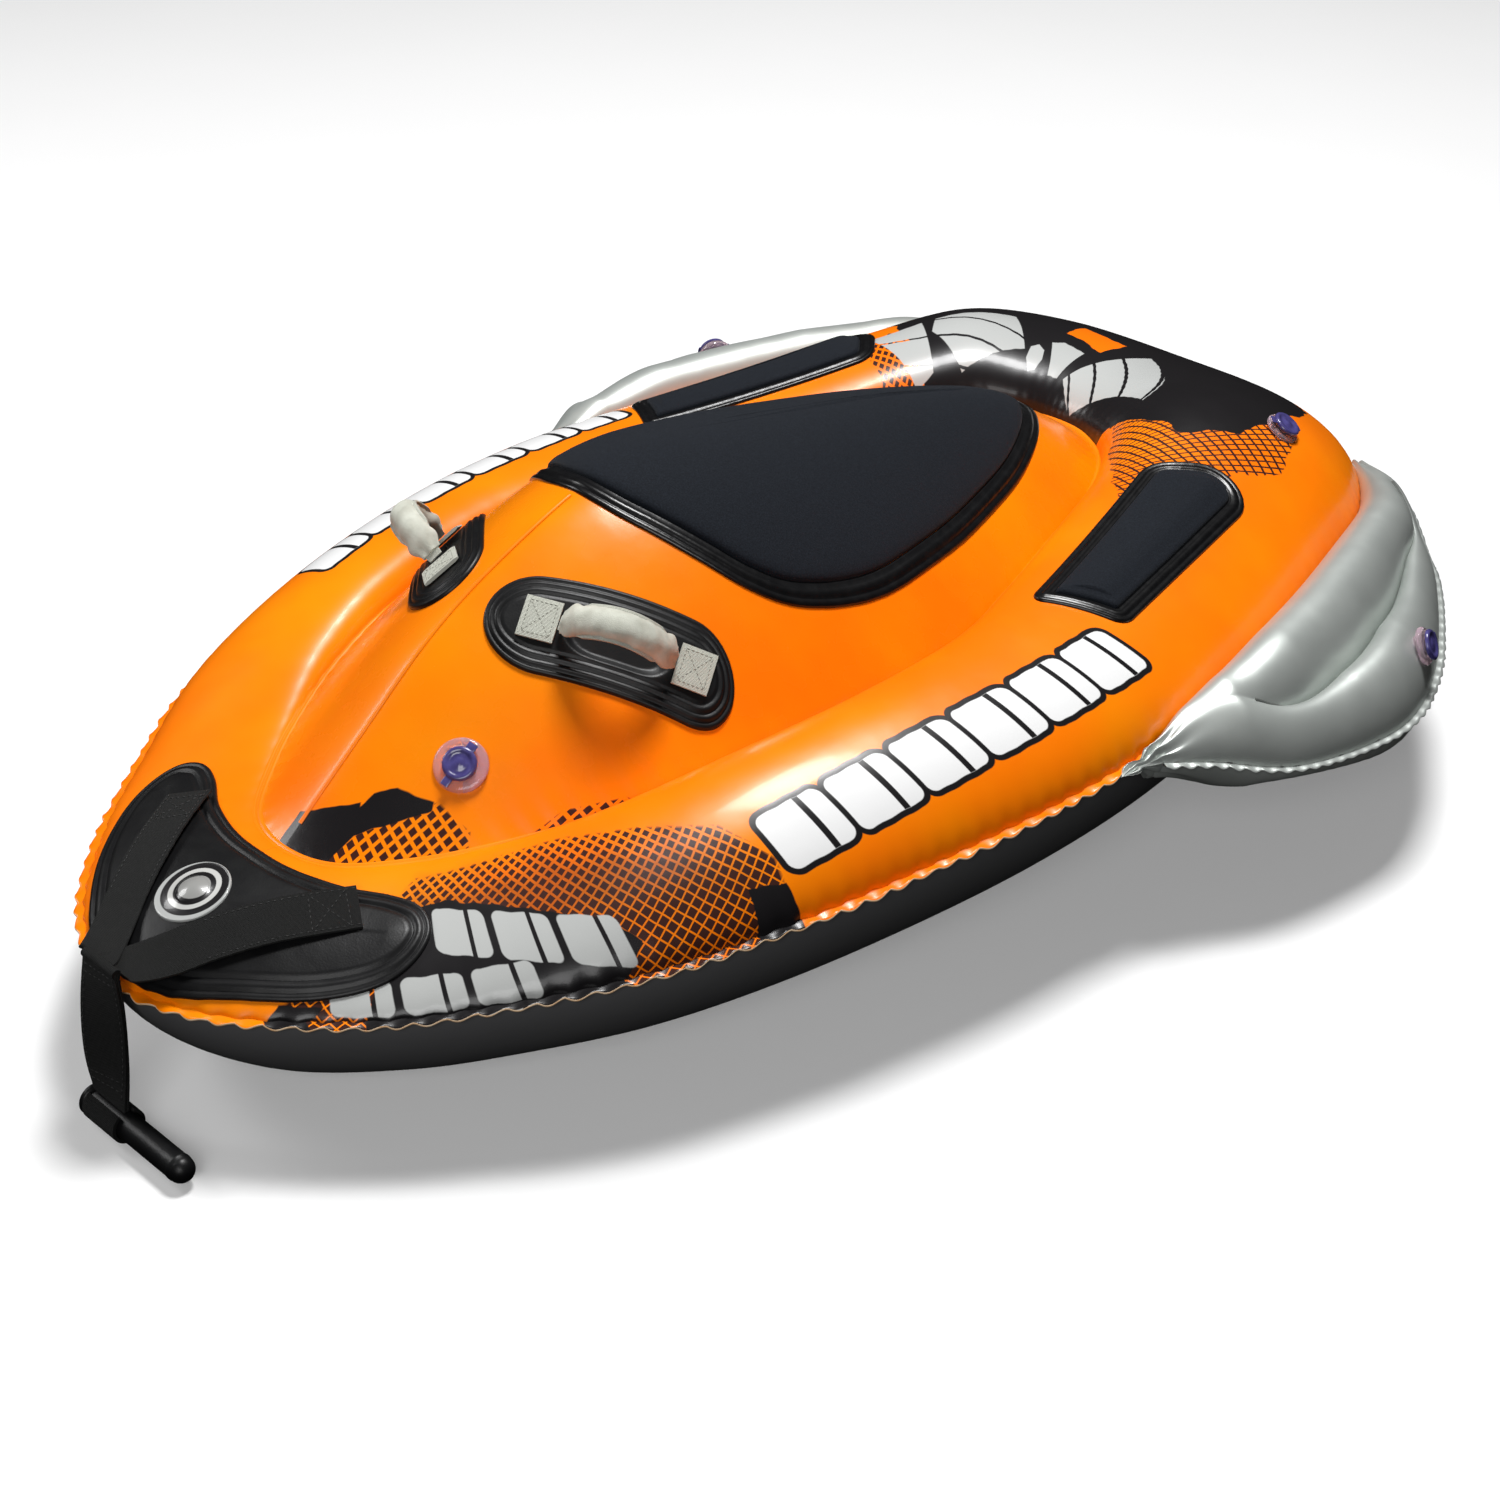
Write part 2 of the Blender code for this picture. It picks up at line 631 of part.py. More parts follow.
def make_inside():
    """Divider wall under the gutter, and lengthwise baffles of the centre chamber."""
    drop = GUTTER_LOOP[:, 2] - WELD_T - SKIN - GAP
    span = SEAM_LOOP - BOTTOM_LOOP
    reach = np.sum((GUTTER_LOOP - BOTTOM_LOOP)[:, :2] * span[:, :2], axis=1)
    reach = np.clip(reach / np.sum(span[:, :2] ** 2, axis=1), 0.0, 1.0) ** (1 / BILGE)
    floor = SEAM_LOOP[:, 2] * (1 - np.sqrt(1 - reach ** 2) ** BILGE) + SKIN + 0.007
    bm = bmesh.new()
    rings = []
    for shift, at_top in ((0.0, False), (0.0, True), (-SKIN, True), (-SKIN, False)):
        loop = moved(GUTTER_LOOP, shift)
        rings.append([bm.verts.new((p[0], p[1], drop[i] if at_top else floor[i]))
                      for i, p in enumerate(loop)])
    for k in range(4):
        a, b = rings[k], rings[(k + 1) % 4]
        for i in range(LOOP):
            j = (i + 1) % LOOP
            bm.faces.new((a[i], a[j], b[j], b[i]))
    new_object("chamber_divider", bm, DARK, 0.6)
    margin = SKIN + 0.003
    for name, x, y0, y1 in (("baffle_middle", 0.0, -0.560, 0.490),
                            ("baffle_port", 0.115, -0.480, 0.400),
                            ("baffle_starboard", -0.115, -0.480, 0.400)):
        bm = bmesh.new()
        lines = []
        steps = 14
        for k in range(steps + 1):
            y = y0 + (y1 - y0) * k / steps
            top = body_height(abs(x) + (0.004 if x else 0), y) - margin
            lines.append([bm.verts.new((x + dx, y, z))
                          for dx, z in ((-SKIN / 2, 0.004), (SKIN / 2, 0.004),
                                        (SKIN / 2, top), (-SKIN / 2, top))])
        for a, b in zip(lines, lines[1:]):
            for i in range(4):
                j = (i + 1) % 4
                bm.faces.new((a[i], a[j], b[j], b[i]))
        bm.faces.new(lines[0])
        bm.faces.new(lines[-1])
        new_object(name, bm, DARK, 0.6)


# ---------------------------------------------------------------- pads and patches

def make_pads():
    body = (body_rows(), True, True)
    deck = (deck_rows(), True, False)
    outer = smooth_outline(SEAT_HALF, 56)
    ring_hole = inset(outer, PAD_BORDER_W)
    pad = inset(outer, PAD_BORDER_W + GAP * 2)
    border = layer("seat_border", *body, GAP, GAP + PAD_BORDER_T, BLACK, 0.2)
    cut(border, prism("seat_border_guide", outer, 0.0, 0.6, ring_hole), 'INTERSECT')
    foam = layer("seat_pad", *body, GAP, GAP + PAD_FOAM_T, FOAM, 0.9)
    cut(foam, prism("seat_pad_guide", pad, 0.0, 0.6), 'INTERSECT')
    for side, word in ((1, "port"), (-1, "starboard")):
        outline = flip(rounded(KNEE_CORNERS, KNEE_RADII), side)
        hole, pad = (flip(rounded(inset(KNEE_CORNERS, width), KNEE_INNER_RADII), side)
                     for width in (KNEE_BORDER_W, KNEE_BORDER_W + GAP * 2))
        border = layer("knee_border_" + word, *deck, GAP, GAP + PAD_BORDER_T, BLACK, 0.2)
        cut(border, prism("knee_border_guide_" + word, outline, 0.0, 0.6, hole), 'INTERSECT')
        foam = layer("knee_pad_" + word, *deck, GAP, GAP + PAD_FOAM_T, FOAM, 0.9)
        cut(foam, prism("knee_pad_guide_" + word, pad, 0.0, 0.6), 'INTERSECT')


def make_nose():
    deck = (deck_rows(), True, False)
    outline = smooth_outline(NOSE_HALF, 44)
    patch = layer("nose_patch", *deck, GAP, GAP + NOSE_PATCH_T, BLACK, 0.4)
    cut(patch, prism("nose_patch_guide", outline, 0.0, 0.6), 'INTERSECT')
    start = np.array(STRAP_START)
    end = np.array(STRAP_END)
    along = (end - start) / np.linalg.norm(end - start)
    across = np.array([-along[1], along[0]])
    near = GAP + NOSE_PATCH_T + GAP * 2
    for side, word in ((1, "port"), (-1, "starboard")):
        corners = [start - across * STRAP_W / 2, end - across * STRAP_W / 2,
                   end + across * STRAP_W / 2, start + across * STRAP_W / 2]
        corners = [(max(p[0], GAP), p[1]) for p in corners]
        strap = layer("nose_strap_" + word, *deck, near, near + STRAP_T, BLACK, 0.8)
        cut(strap, prism("nose_strap_guide_" + word, flip(corners, side), 0.0, 0.6), 'INTERSECT')
    badge = layer("nose_badge", *deck, near, near + BADGE_T, SILVER, 0.35)
    circle = [(BADGE_R * math.cos(2 * math.pi * k / 28),
               BADGE_Y + BADGE_R * math.sin(2 * math.pi * k / 28)) for k in range(28)]
    cut(badge, prism("nose_badge_guide", circle, 0.0, 0.6), 'INTERSECT')


def make_handles():
    body = (body_rows(), True, True)
    probe = surface_probe(body_rows(), True)
    fore = np.array(HANDLE_FORE)
    aft = np.array(HANDLE_AFT)
    along = (aft - fore) / np.linalg.norm(aft - fore)
    across = np.array([-along[1], along[0]])
    for side, word in ((1, "port"), (-1, "starboard")):
        # Stadium outline round both ends of the handle
        outline = []
        for centre, turn, over in ((aft, -0.5, PATCH_OVERHANG[1]), (fore, 0.5, PATCH_OVERHANG[0])):
            for k in range(11):
                t = math.pi * (turn + k / 10)
                reach = along * math.cos(t) * over + across * math.sin(t) * PATCH_HALF_W
                outline.append(tuple(centre + reach))
        patch = layer("handle_patch_" + word, *body, GAP, GAP + PATCH_T, BLACK, 0.35)
        cut(patch, prism("handle_patch_guide_" + word, flip(outline, side), 0.0, 0.6), 'INTERSECT')

        mirror = np.array([side, 1])
        p0, n0 = probe(*(fore * mirror))
        p1, n1 = probe(*(aft * mirror))
        pm, nm = probe(*((fore + aft) / 2 * mirror))
        chord = (p1 - p0).normalized()
        normal = (nm - chord * nm.dot(chord)).normalized()
        side_axis = normal.cross(chord)
        lift = GAP + PATCH_T + GAP * 3
        ends = []
        for spot, point, facing, inward in (("fore", p0, n0, 1), ("aft", p1, n1, -1)):
            tab_frame = frame_at(point + facing * lift, facing, chord)
            bm = bmesh.new()
            block(bm, (-TAB[0] / 2, -TAB[1] / 2, 0), (TAB[0] / 2, TAB[1] / 2, TAB[2]))
            tab = new_object(f"handle_tab_{word}_{spot}", bm, WEBBING, 0.85, smooth=False)
            tab.matrix_world = tab_frame
            edge = tab_frame @ Vector((inward * (TAB[0] / 2 + WEB_T), 0, WEB_FOOT))
            ends.append(edge)
        make_grip(word, ends, normal)


def grip_curve(a, b, normal, steps=14):
    """Centre line of the webbing between two tabs, arched away from the patch."""
    out = []
    for k in range(steps + 1):
        t = k / steps
        rise = math.sin(math.pi * t) ** 0.8 * HANDLE_RISE
        out.append(a.lerp(b, t) + normal * rise)
    return out


def make_grip(word, ends, normal):
    """Webbing strip and sleeve of one handle; both swing about the line through its ends."""
    a, b = ends
    chord = (b - a).normalized()
    normal = (normal - chord * normal.dot(chord)).normalized()
    origin = (a + b) / 2
    home = frame_at(origin, normal, chord)
    back = home.inverted()
    curve = [back @ p for p in grip_curve(a, b, normal)]

    bm = bmesh.new()
    rings = []
    for k, p in enumerate(curve):
        before = curve[max(k - 1, 0)]
        after = curve[min(k + 1, len(curve) - 1)]
        run = (after - before).normalized()
        up = Vector((0, 1, 0)).cross(run) * -1
        share = min(k, len(curve) - 1 - k) / 3
        half = WEB_END_W / 2 + (WEB_W - WEB_END_W) / 2 * min(share, 1.0)
        rings.append([bm.verts.new(p + Vector((0, sy * half, 0)) + up * sz * WEB_T / 2)
                      for sy, sz in ((-1, -1), (1, -1), (1, 1), (-1, 1))])
    for r0, r1 in zip(rings, rings[1:]):
        for i in range(4):
            j = (i + 1) % 4
            bm.faces.new((r0[i], r0[j], r1[j], r1[i]))
    bm.faces.new(rings[0])
    bm.faces.new(rings[-1])
    web = new_object("handle_webbing_" + word, bm, WEBBING, 0.85)
    web.matrix_world = home

    # Sleeve: an oval tube that follows the middle of the arch, with a flat slot for the webbing
    bm = bmesh.new()
    total = (curve[-1] - curve[0]).length
    steps = 8
    sides = 14
    outer, slot = [], []
    for k in range(steps + 1):
        x = (k / steps - 0.5) * SLEEVE_LENGTH
        t = x / total + 0.5
        z = math.sin(math.pi * t) ** 0.8 * HANDLE_RISE
        dz = (math.sin(math.pi * (t + 0.01)) ** 0.8 - math.sin(math.pi * (t - 0.01)) ** 0.8)
        run = Vector((0.02 * total, 0, dz * HANDLE_RISE)).normalized()
        up = Vector((0, 1, 0)).cross(run) * -1
        p = Vector((x, 0, z))
        ring_o, ring_s = [], []
        for i in range(sides):
            angle = 2 * math.pi * i / sides
            c, s = math.cos(angle), math.sin(angle)
            ring_o.append(bm.verts.new(p + Vector((0, 1, 0)) * c * 1.25 * SLEEVE_R + up * s * SLEEVE_R))
            ring_s.append(bm.verts.new(p + Vector((0, 1, 0)) * c * (WEB_W / 2 + 0.0016)
                                       + up * s * (WEB_T / 2 + 0.0022)
                                       + up * (0.0015 if s > 0 else -0.0015)))
        outer.append(ring_o)
        slot.append(ring_s)
    for rings in (outer, slot):
        for r0, r1 in zip(rings, rings[1:]):
            for i in range(sides):
                j = (i + 1) % sides
                bm.faces.new((r0[i], r0[j], r1[j], r1[i]))
    for k in (0, -1):
        for i in range(sides):
            j = (i + 1) % sides
            bm.faces.new((outer[k][i], outer[k][j], slot[k][j], slot[k][i]))
    sleeve = new_object("handle_sleeve_" + word, bm, WEBBING, 0.9)
    sleeve.matrix_world = home


# ---------------------------------------------------------------- tow strap

def make_tow():
    toggle_z = LOOP_T + TOGGLE_CLEAR + TOGGLE_R
    loop_out = TOGGLE_R + TOGGLE_CLEAR + LOOP_T
    # Flat strip from the fold down to the middle of the loop
    top = Vector(TOW_TOP)
    foot = Vector((*TOW_FOOT, toggle_z))
    reach = (foot - top).length
    facing = Vector((1, 0, 0)).cross(top - foot)
    lean = frame_at(top, facing, (top - foot).cross(facing))
    bm = bmesh.new()
    block(bm, (-STRAP_W / 2, -reach, -TOW_T / 2), (STRAP_W / 2, 0.0, TOW_T / 2))
    strap = new_object("tow_strap", bm, BLACK, 0.85, smooth=False)
    strap.matrix_world = lean

    def roll(name, radius, length):
        rod = bmesh.new()
        bmesh.ops.create_cone(rod, cap_ends=True, segments=24, radius1=radius, radius2=radius,
                              depth=length, matrix=Matrix.Rotation(math.pi / 2, 4, 'Y'))
        mesh = bpy.data.meshes.new(name)
        rod.to_mesh(mesh)
        rod.free()
        obj = bpy.data.objects.new(name, mesh)
        obj.location = foot
        bpy.context.scene.collection.objects.link(obj)
        return guide(obj)

    cut(strap, roll("loop_outside", loop_out, STRAP_W), 'UNION')
    cut(strap, roll("loop_inside", TOGGLE_R + TOGGLE_CLEAR, STRAP_W * 2), 'DIFFERENCE')

    # Toggle: collar at one end, round nose at the other
    x0, x1 = TOGGLE_X
    profile = [(0, x0), (COLLAR_R - 0.002, x0), (COLLAR_R, x0 + 0.002), (COLLAR_R, x0 + 0.006),
               (TOGGLE_R, x0 + 0.0075), (TOGGLE_R, x1 - TOGGLE_R)]
    for k in range(1, 5):
        t = math.pi / 2 * k / 4
        profile.append((TOGGLE_R * math.cos(t) if k < 4 else 0, x1 - TOGGLE_R * (1 - math.sin(t))))
    bm = bmesh.new()
    turned(bm, profile, segments=20, closed=False)
    bmesh.ops.rotate(bm, verts=bm.verts, cent=(0, 0, 0), matrix=Matrix.Rotation(math.pi / 2, 3, 'Y'))
    toggle = new_object("tow_toggle", bm, BLACK, 0.35)
    toggle.location = foot


# ---------------------------------------------------------------- sponsons

def make_sponsons():
    columns = 2 * LOBE_STEPS
    for side, word in ((1, "port"), (-1, "starboard")):
        for up, layer_name in ((1, "top"), (-1, "under")):
            inner, rim = sponson_edges(side, up)
            rows = [[sponson_point(inner, rim, i, k / columns, up)
                     for k in range(columns + 1)] for i in range(SPONSON_STEPS + 1)]
            shell(f"sponson_{layer_name}_{word}", grid(rows), Vector((0, 0, up)), SILVER, 0.3)
        # Flat flange where the two skins are welded
        inner, rim = sponson_edges(side, 1)
        bm = bmesh.new()
        lines = []
        for i in range(SPONSON_STEPS + 1):
            a, b = Vector(inner[i]), Vector(rim[i])
            run = Vector(rim[min(i + 1, SPONSON_STEPS)]) - Vector(rim[max(i - 1, 0)])
            out = Vector((run.y, -run.x, 0)).normalized() * side
            if out.dot(b - a) < 0:
                out = -out
            lines.append([bm.verts.new(b + out * d + Vector((0, 0, z)))
                          for d, z in ((FLANGE_CLEAR, -WELD_T / 2), (SPONSON_RIM_W, -WELD_T / 2),
                                       (SPONSON_RIM_W, WELD_T / 2), (FLANGE_CLEAR, WELD_T / 2))])
        for a, b in zip(lines, lines[1:]):
            for k in range(4):
                m = (k + 1) % 4
                bm.faces.new((a[k], a[m], b[m], b[k]))
        bm.faces.new(lines[0])
        bm.faces.new(lines[-1])
        new_object("sponson_flange_" + word, bm, SILVER, 0.4)


# ---------------------------------------------------------------- valves

def make_valve(word, point, normal, along, skin, ring_r=VALVE_SMALL_R, lift=VALVE_SMALL_LIFT):
    """Valve set square to the skin at point. The cap's tether points along."""
    home = frame_at(Vector(point) + Vector(normal) * lift, normal, along)
    hole = bmesh.new()
    bmesh.ops.create_cone(hole, cap_ends=True, segments=VALVE_SEGMENTS, radius1=BARREL_R + 0.0008,
                          radius2=BARREL_R + 0.0008, depth=0.03)
    mesh = bpy.data.meshes.new("valve_hole_" + word)
    hole.to_mesh(mesh)
    hole.free()
    cutter = bpy.data.objects.new("valve_hole_" + word, mesh)
    cutter.matrix_world = home
    bpy.context.scene.collection.objects.link(cutter)
    guide(cutter)
    cut(bpy.data.objects[skin], cutter)

    # Body: flat ring outside the skin, barrel through it
    low = -BARREL_LENGTH
    bm = bmesh.new()
    turned(bm, [(BORE_R, low), (BARREL_R, low), (BARREL_R, 0.0), (ring_r, 0.0),
                (ring_r, VALVE_RING_T * 0.6), (ring_r - 0.003, VALVE_RING_T),
                (BORE_R, VALVE_RING_T)])
    base = new_object("valve_body_" + word, bm, CLEAR, 0.15)
    base.matrix_world = home

    # Cap: plate with a plug, on a short tether whose end is the hinge
    hinge_x = ring_r - 0.001
    bm = bmesh.new()
    turned(bm, [(0, CAP_T), (CAP_R - 0.002, CAP_T), (CAP_R, CAP_T - 0.0015), (CAP_R, 0),
                (PLUG_R, 0), (PLUG_R, -PLUG_LENGTH), (0, -PLUG_LENGTH)], closed=False)
    for v in bm.verts:
        v.co.x -= hinge_x
    cap = new_object("valve_cap_" + word, bm, BLUE, 0.25)
    cap.matrix_world = home @ Matrix.Translation((hinge_x, 0, VALVE_RING_T + GAP))
    tether = bmesh.new()
    block(tether, (-hinge_x + CAP_R * 0.6, -TETHER_W / 2, 0.0004), (0.0002, TETHER_W / 2, 0.0022))
    mesh = bpy.data.meshes.new("tether_" + word)
    tether.to_mesh(mesh)
    tether.free()
    strap = bpy.data.objects.new("tether_" + word, mesh)
    strap.matrix_world = cap.matrix_world.copy()
    bpy.context.scene.collection.objects.link(strap)
    cut(cap, guide(strap), 'UNION')

    # Check flap: thin disc below the barrel, hinged at its edge
    bm = bmesh.new()
    turned(bm, [(0, 0), (BARREL_R - 0.0005, 0), (BARREL_R - 0.0005, -FLAP_T), (0, -FLAP_T)],
           closed=False)
    for v in bm.verts:
        v.co.x -= BARREL_R - 0.0005
    flap = new_object("valve_flap_" + word, bm, BLACK, 0.6)
    flap.matrix_world = home @ Matrix.Translation((BARREL_R - 0.0005, 0, low - GAP))


def make_valves():
    body = surface_probe(body_rows(), True)
    deck = surface_probe(deck_rows(), False)
    point, normal = body(*HOOD_VALVE)
    make_valve("hood", point, normal, (0.3, -1.0, 0), "centre_body",
               VALVE_RING_R, 0.0025)
    point, normal = deck(*STERN_VALVE)
    make_valve("stern", point, normal, (0.5, 0.8, 0), "deck_ring")
    for side, word in ((1, "port"), (-1, "starboard")):
        inner, rim = sponson_edges(side, 1)
        i = round(SPONSON_VALVE[0] * SPONSON_STEPS)
        here = Vector(sponson_point(inner, rim, i, SPONSON_VALVE[1], 1))
        ahead = Vector(sponson_point(inner, rim, i + 1, SPONSON_VALVE[1], 1))
        out = Vector(sponson_point(inner, rim, i, SPONSON_VALVE[1] + 0.1, 1))
        normal = (ahead - here).cross(out - here)
        if normal.z < 0:
            normal = -normal
        make_valve(word, here, normal.normalized(), here - ahead, "sponson_top_" + word)


def main():
    clear_scene()
    make_hull()
    make_inside()
    make_pads()
    make_nose()
    make_handles()
    make_tow()
    make_sponsons()
    make_valves()
    bpy.context.view_layer.update()


main()
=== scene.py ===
"""Looks of the towable tube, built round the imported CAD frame.

Metres, +Z up, the nose points to -Y and the port side is +X. The shapes of the chambers
repeat the station lists of the CAD source, drawn finely: station 0 is the nose, 13 the
stern, and the port half is mirrored to starboard.
"""

import json
import math

import bmesh
import bpy
import numpy as np
from mathutils import Matrix, Vector
from mathutils.bvhtree import BVHTree


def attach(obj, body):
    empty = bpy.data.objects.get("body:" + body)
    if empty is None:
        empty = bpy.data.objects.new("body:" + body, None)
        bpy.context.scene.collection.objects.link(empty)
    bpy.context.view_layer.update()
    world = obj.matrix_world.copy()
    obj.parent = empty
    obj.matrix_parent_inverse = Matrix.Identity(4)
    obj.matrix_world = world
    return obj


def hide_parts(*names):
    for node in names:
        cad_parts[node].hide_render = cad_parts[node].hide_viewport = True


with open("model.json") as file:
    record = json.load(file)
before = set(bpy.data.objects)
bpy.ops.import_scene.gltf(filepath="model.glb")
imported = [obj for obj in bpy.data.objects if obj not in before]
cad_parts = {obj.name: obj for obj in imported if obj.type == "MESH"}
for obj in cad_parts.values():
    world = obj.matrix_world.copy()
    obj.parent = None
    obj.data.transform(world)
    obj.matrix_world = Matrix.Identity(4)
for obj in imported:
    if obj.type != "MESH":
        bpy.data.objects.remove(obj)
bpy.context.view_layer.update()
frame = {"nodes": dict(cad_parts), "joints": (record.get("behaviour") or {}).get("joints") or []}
JOINTS = {joint["name"]: joint for joint in frame["joints"]}

# ---------------------------------------------------------------- dimensions from the CAD

# Edges of the chambers, port half: (x, y, z) at stations 0 to 13
SEAM = [(0.000, -0.784, 0.141), (0.108, -0.750, 0.141), (0.208, -0.664, 0.143),
        (0.279, -0.573, 0.151), (0.353, -0.457, 0.166), (0.405, -0.307, 0.179),
        (0.441, -0.130, 0.190), (0.457, 0.030, 0.196), (0.449, 0.190, 0.197),
        (0.417, 0.360, 0.196), (0.369, 0.530, 0.193), (0.308, 0.686, 0.190),
        (0.195, 0.800, 0.187), (0.000, 0.836, 0.186)]
GUTTER = [(0.000, -0.598, 0.195), (0.060, -0.582, 0.196), (0.115, -0.525, 0.202),
          (0.160, -0.460, 0.212), (0.205, -0.375, 0.226), (0.240, -0.265, 0.243),
          (0.262, -0.110, 0.253), (0.254, 0.045, 0.254), (0.218, 0.170, 0.257),
          (0.178, 0.290, 0.262), (0.142, 0.395, 0.266), (0.098, 0.468, 0.269),
          (0.048, 0.505, 0.270), (0.000, 0.515, 0.270)]
BOTTOM = [(0.000, -0.610, 0.0), (0.078, -0.585, 0.0), (0.132, -0.508, 0.0),
          (0.170, -0.420, 0.0), (0.200, -0.322, 0.0), (0.222, -0.206, 0.0),
          (0.236, -0.070, 0.0), (0.242, 0.080, 0.0), (0.242, 0.230, 0.0),
          (0.232, 0.360, 0.0), (0.208, 0.480, 0.0), (0.168, 0.590, 0.0),
          (0.100, 0.655, 0.0), (0.000, 0.675, 0.0)]
# Height of the deck ring's crest above the line between its edges, by station
SWELL = [0.022, 0.020, 0.018, 0.026, 0.042, 0.054, 0.060,
         0.061, 0.062, 0.070, 0.085, 0.101, 0.089, 0.079]
# Crest of the centre body: (y, z)
SPINE = [(-0.598, 0.195), (-0.555, 0.232), (-0.500, 0.277), (-0.416, 0.345),
         (-0.324, 0.397), (-0.226, 0.437), (-0.140, 0.449), (-0.030, 0.436),
         (0.090, 0.414), (0.200, 0.392), (0.310, 0.364), (0.400, 0.335),
         (0.460, 0.305), (0.515, 0.270)]
# Powers of the sections: the hull's bilge, and the centre body's hood and seat
BILGE, HOOD_POWER, SEAT_POWER = 1.2, 1.35, 1.75
# Pads and nose patch in plan, port half: (x, y)
SEAT_HALF = [(0.000, -0.226), (0.045, -0.218), (0.085, -0.200), (0.125, -0.176),
             (0.162, -0.147), (0.188, -0.108), (0.202, -0.045), (0.201, 0.025),
             (0.180, 0.125), (0.149, 0.225), (0.115, 0.312), (0.072, 0.386),
             (0.028, 0.432), (0.000, 0.440)]
SEAT_BORDER_W = 0.020
KNEE_CORNERS = [(0.284, 0.124), (0.369, 0.176), (0.298, 0.519), (0.202, 0.413)]
KNEE_RADII = [0.012, 0.022, 0.045, 0.040]
KNEE_BORDER_W = 0.018
NOSE_HALF = [(0.000, -0.782), (0.060, -0.770), (0.113, -0.736), (0.163, -0.692),
             (0.197, -0.645), (0.206, -0.608), (0.196, -0.578), (0.170, -0.566),
             (0.138, -0.575), (0.095, -0.600), (0.045, -0.616), (0.000, -0.620)]
# Port handle: its two ends in plan, and the rise of its arch
HANDLE_FORE, HANDLE_AFT = (0.070, -0.333), (0.180, -0.242)
HANDLE_RISE = 0.048
# Port sponson: its rim from front to back, the stations it is welded between, and how far
# round the sections its welds lie, above and under the seam
SPONSON_RIM = [(0.477, 0.110, 0.193), (0.504, 0.160, 0.184), (0.547, 0.232, 0.167),
               (0.567, 0.334, 0.157), (0.565, 0.419, 0.156), (0.522, 0.524, 0.158),
               (0.443, 0.640, 0.171), (0.391, 0.691, 0.180), (0.313, 0.763, 0.191),
               (0.240, 0.800, 0.193)]
SPONSON_STATIONS = (7.42, 11.75)
SPONSON_WELD_TOP, SPONSON_WELD_UNDER = 0.20, 0.16
# Height of a lobe over its width where there are two or one, and the most it reaches
LOBE_ROUND, LONE_ROUND, LOBE_MAX = 0.66, 0.66, 0.058
# Valley between the lobes: its height above the rim, and its place from weld to rim, by the
# share of the sponson's length
VALLEY_RISE = 0.034
VALLEY_SPLIT = [(0.0, 0.74), (0.22, 0.70), (0.36, 0.59), (0.50, 0.56), (0.66, 0.66),
                (0.80, 0.84), (1.0, 0.92)]
# Tow strap, from the fold at its top to the loop at its foot, and the toggle
STRAP_W = 0.050
TOGGLE_X = (-0.034, 0.120)
TOGGLE_R, COLLAR_R = 0.013, 0.0165
TOW_TOP = Vector((0.010, -0.803, 0.176))
TOW_FOOT = Vector((0.017, -0.817, 0.0173))
# Middle and radius of the badge, and radius of the valve caps
BADGE_Y, BADGE_R = -0.694, 0.035
CAP_R = 0.0165

# ---------------------------------------------------------------- sizes of the visible detail

AROUND = 720                    # columns round the craft in the chambers' skins
RIM_PITCH = 0.0265              # distance between the scallops of the deck's rim
RIM_COLUMNS = 1800
GUTTER_PITCH = 0.041            # distance between the puckers at the gutter weld
HOOD_PITCH = 0.037
SPONSON_PITCH = 0.0175          # distance between the scallops of a sponson's rim
SPONSON_STEPS, SPONSON_COLUMNS = 170, 76
SKIRT = -0.0015                 # how far the edge of a pad or patch reaches into the skin
WEB_THICK = 0.0026
HANDLE_WEB_THICK = 0.0034
SEWN = 0.42                     # place of a row of stitches, as a share of the webbing's width
TAU = 2 * math.pi
SIDES = ((1, "port"), (-1, "starboard"))


# ---------------------------------------------------------------- curves and surfaces

def spline(points, where, closed=False):
    """Catmull-Rom curve through points, read at the station numbers in where."""
    pts = np.array(points, float)
    where = np.atleast_1d(np.asarray(where, float))
    count = len(pts)
    i = np.floor(where).astype(int)
    if closed:
        p0, p1, p2, p3 = (pts[(i + k) % count] for k in (-1, 0, 1, 2))
    else:
        i = np.clip(i, 0, count - 2)
        p1, p2 = pts[i], pts[i + 1]
        p0 = np.where((i > 0)[:, None], pts[i - 1], 2 * p1 - p2)
        p3 = np.where((i + 2 < count)[:, None], pts[np.minimum(i + 2, count - 1)], 2 * p2 - p1)
    t = (where - i)[:, None]
    return 0.5 * (2 * p1 + (p2 - p0) * t + (2 * p0 - 5 * p1 + 4 * p2 - p3) * t ** 2
                  + (3 * p1 - p0 - 3 * p2 + p3) * t ** 3)


def mirrored(half):
    return half + [(-p[0],) + p[1:] for p in half[-2:0:-1]]


def around(half, stations):
    """Points at the given stations of the closed loop that a port half makes."""
    return spline(mirrored(half), stations, closed=True)


def even_stations(columns):
    """Station numbers that stand at even distances round the seam."""
    total = 2 * (len(SEAM) - 1)
    fine = np.linspace(0, total / 2, 2001)
    run = run_length(around(SEAM, fine))
    half = np.interp(np.linspace(0, run[-1], columns // 2 + 1), run, fine)
    return np.concatenate([half, total - half[-2:0:-1]])


def swell_at(stations):
    """Height of the deck ring's crest at any station."""
    return around([(0.0, s) for s in SWELL], stations)[:, 1]


def unit(rows):
    return rows / np.linalg.norm(rows, axis=1)[:, None]


def directions(path):
    return unit(np.gradient(path, axis=0))


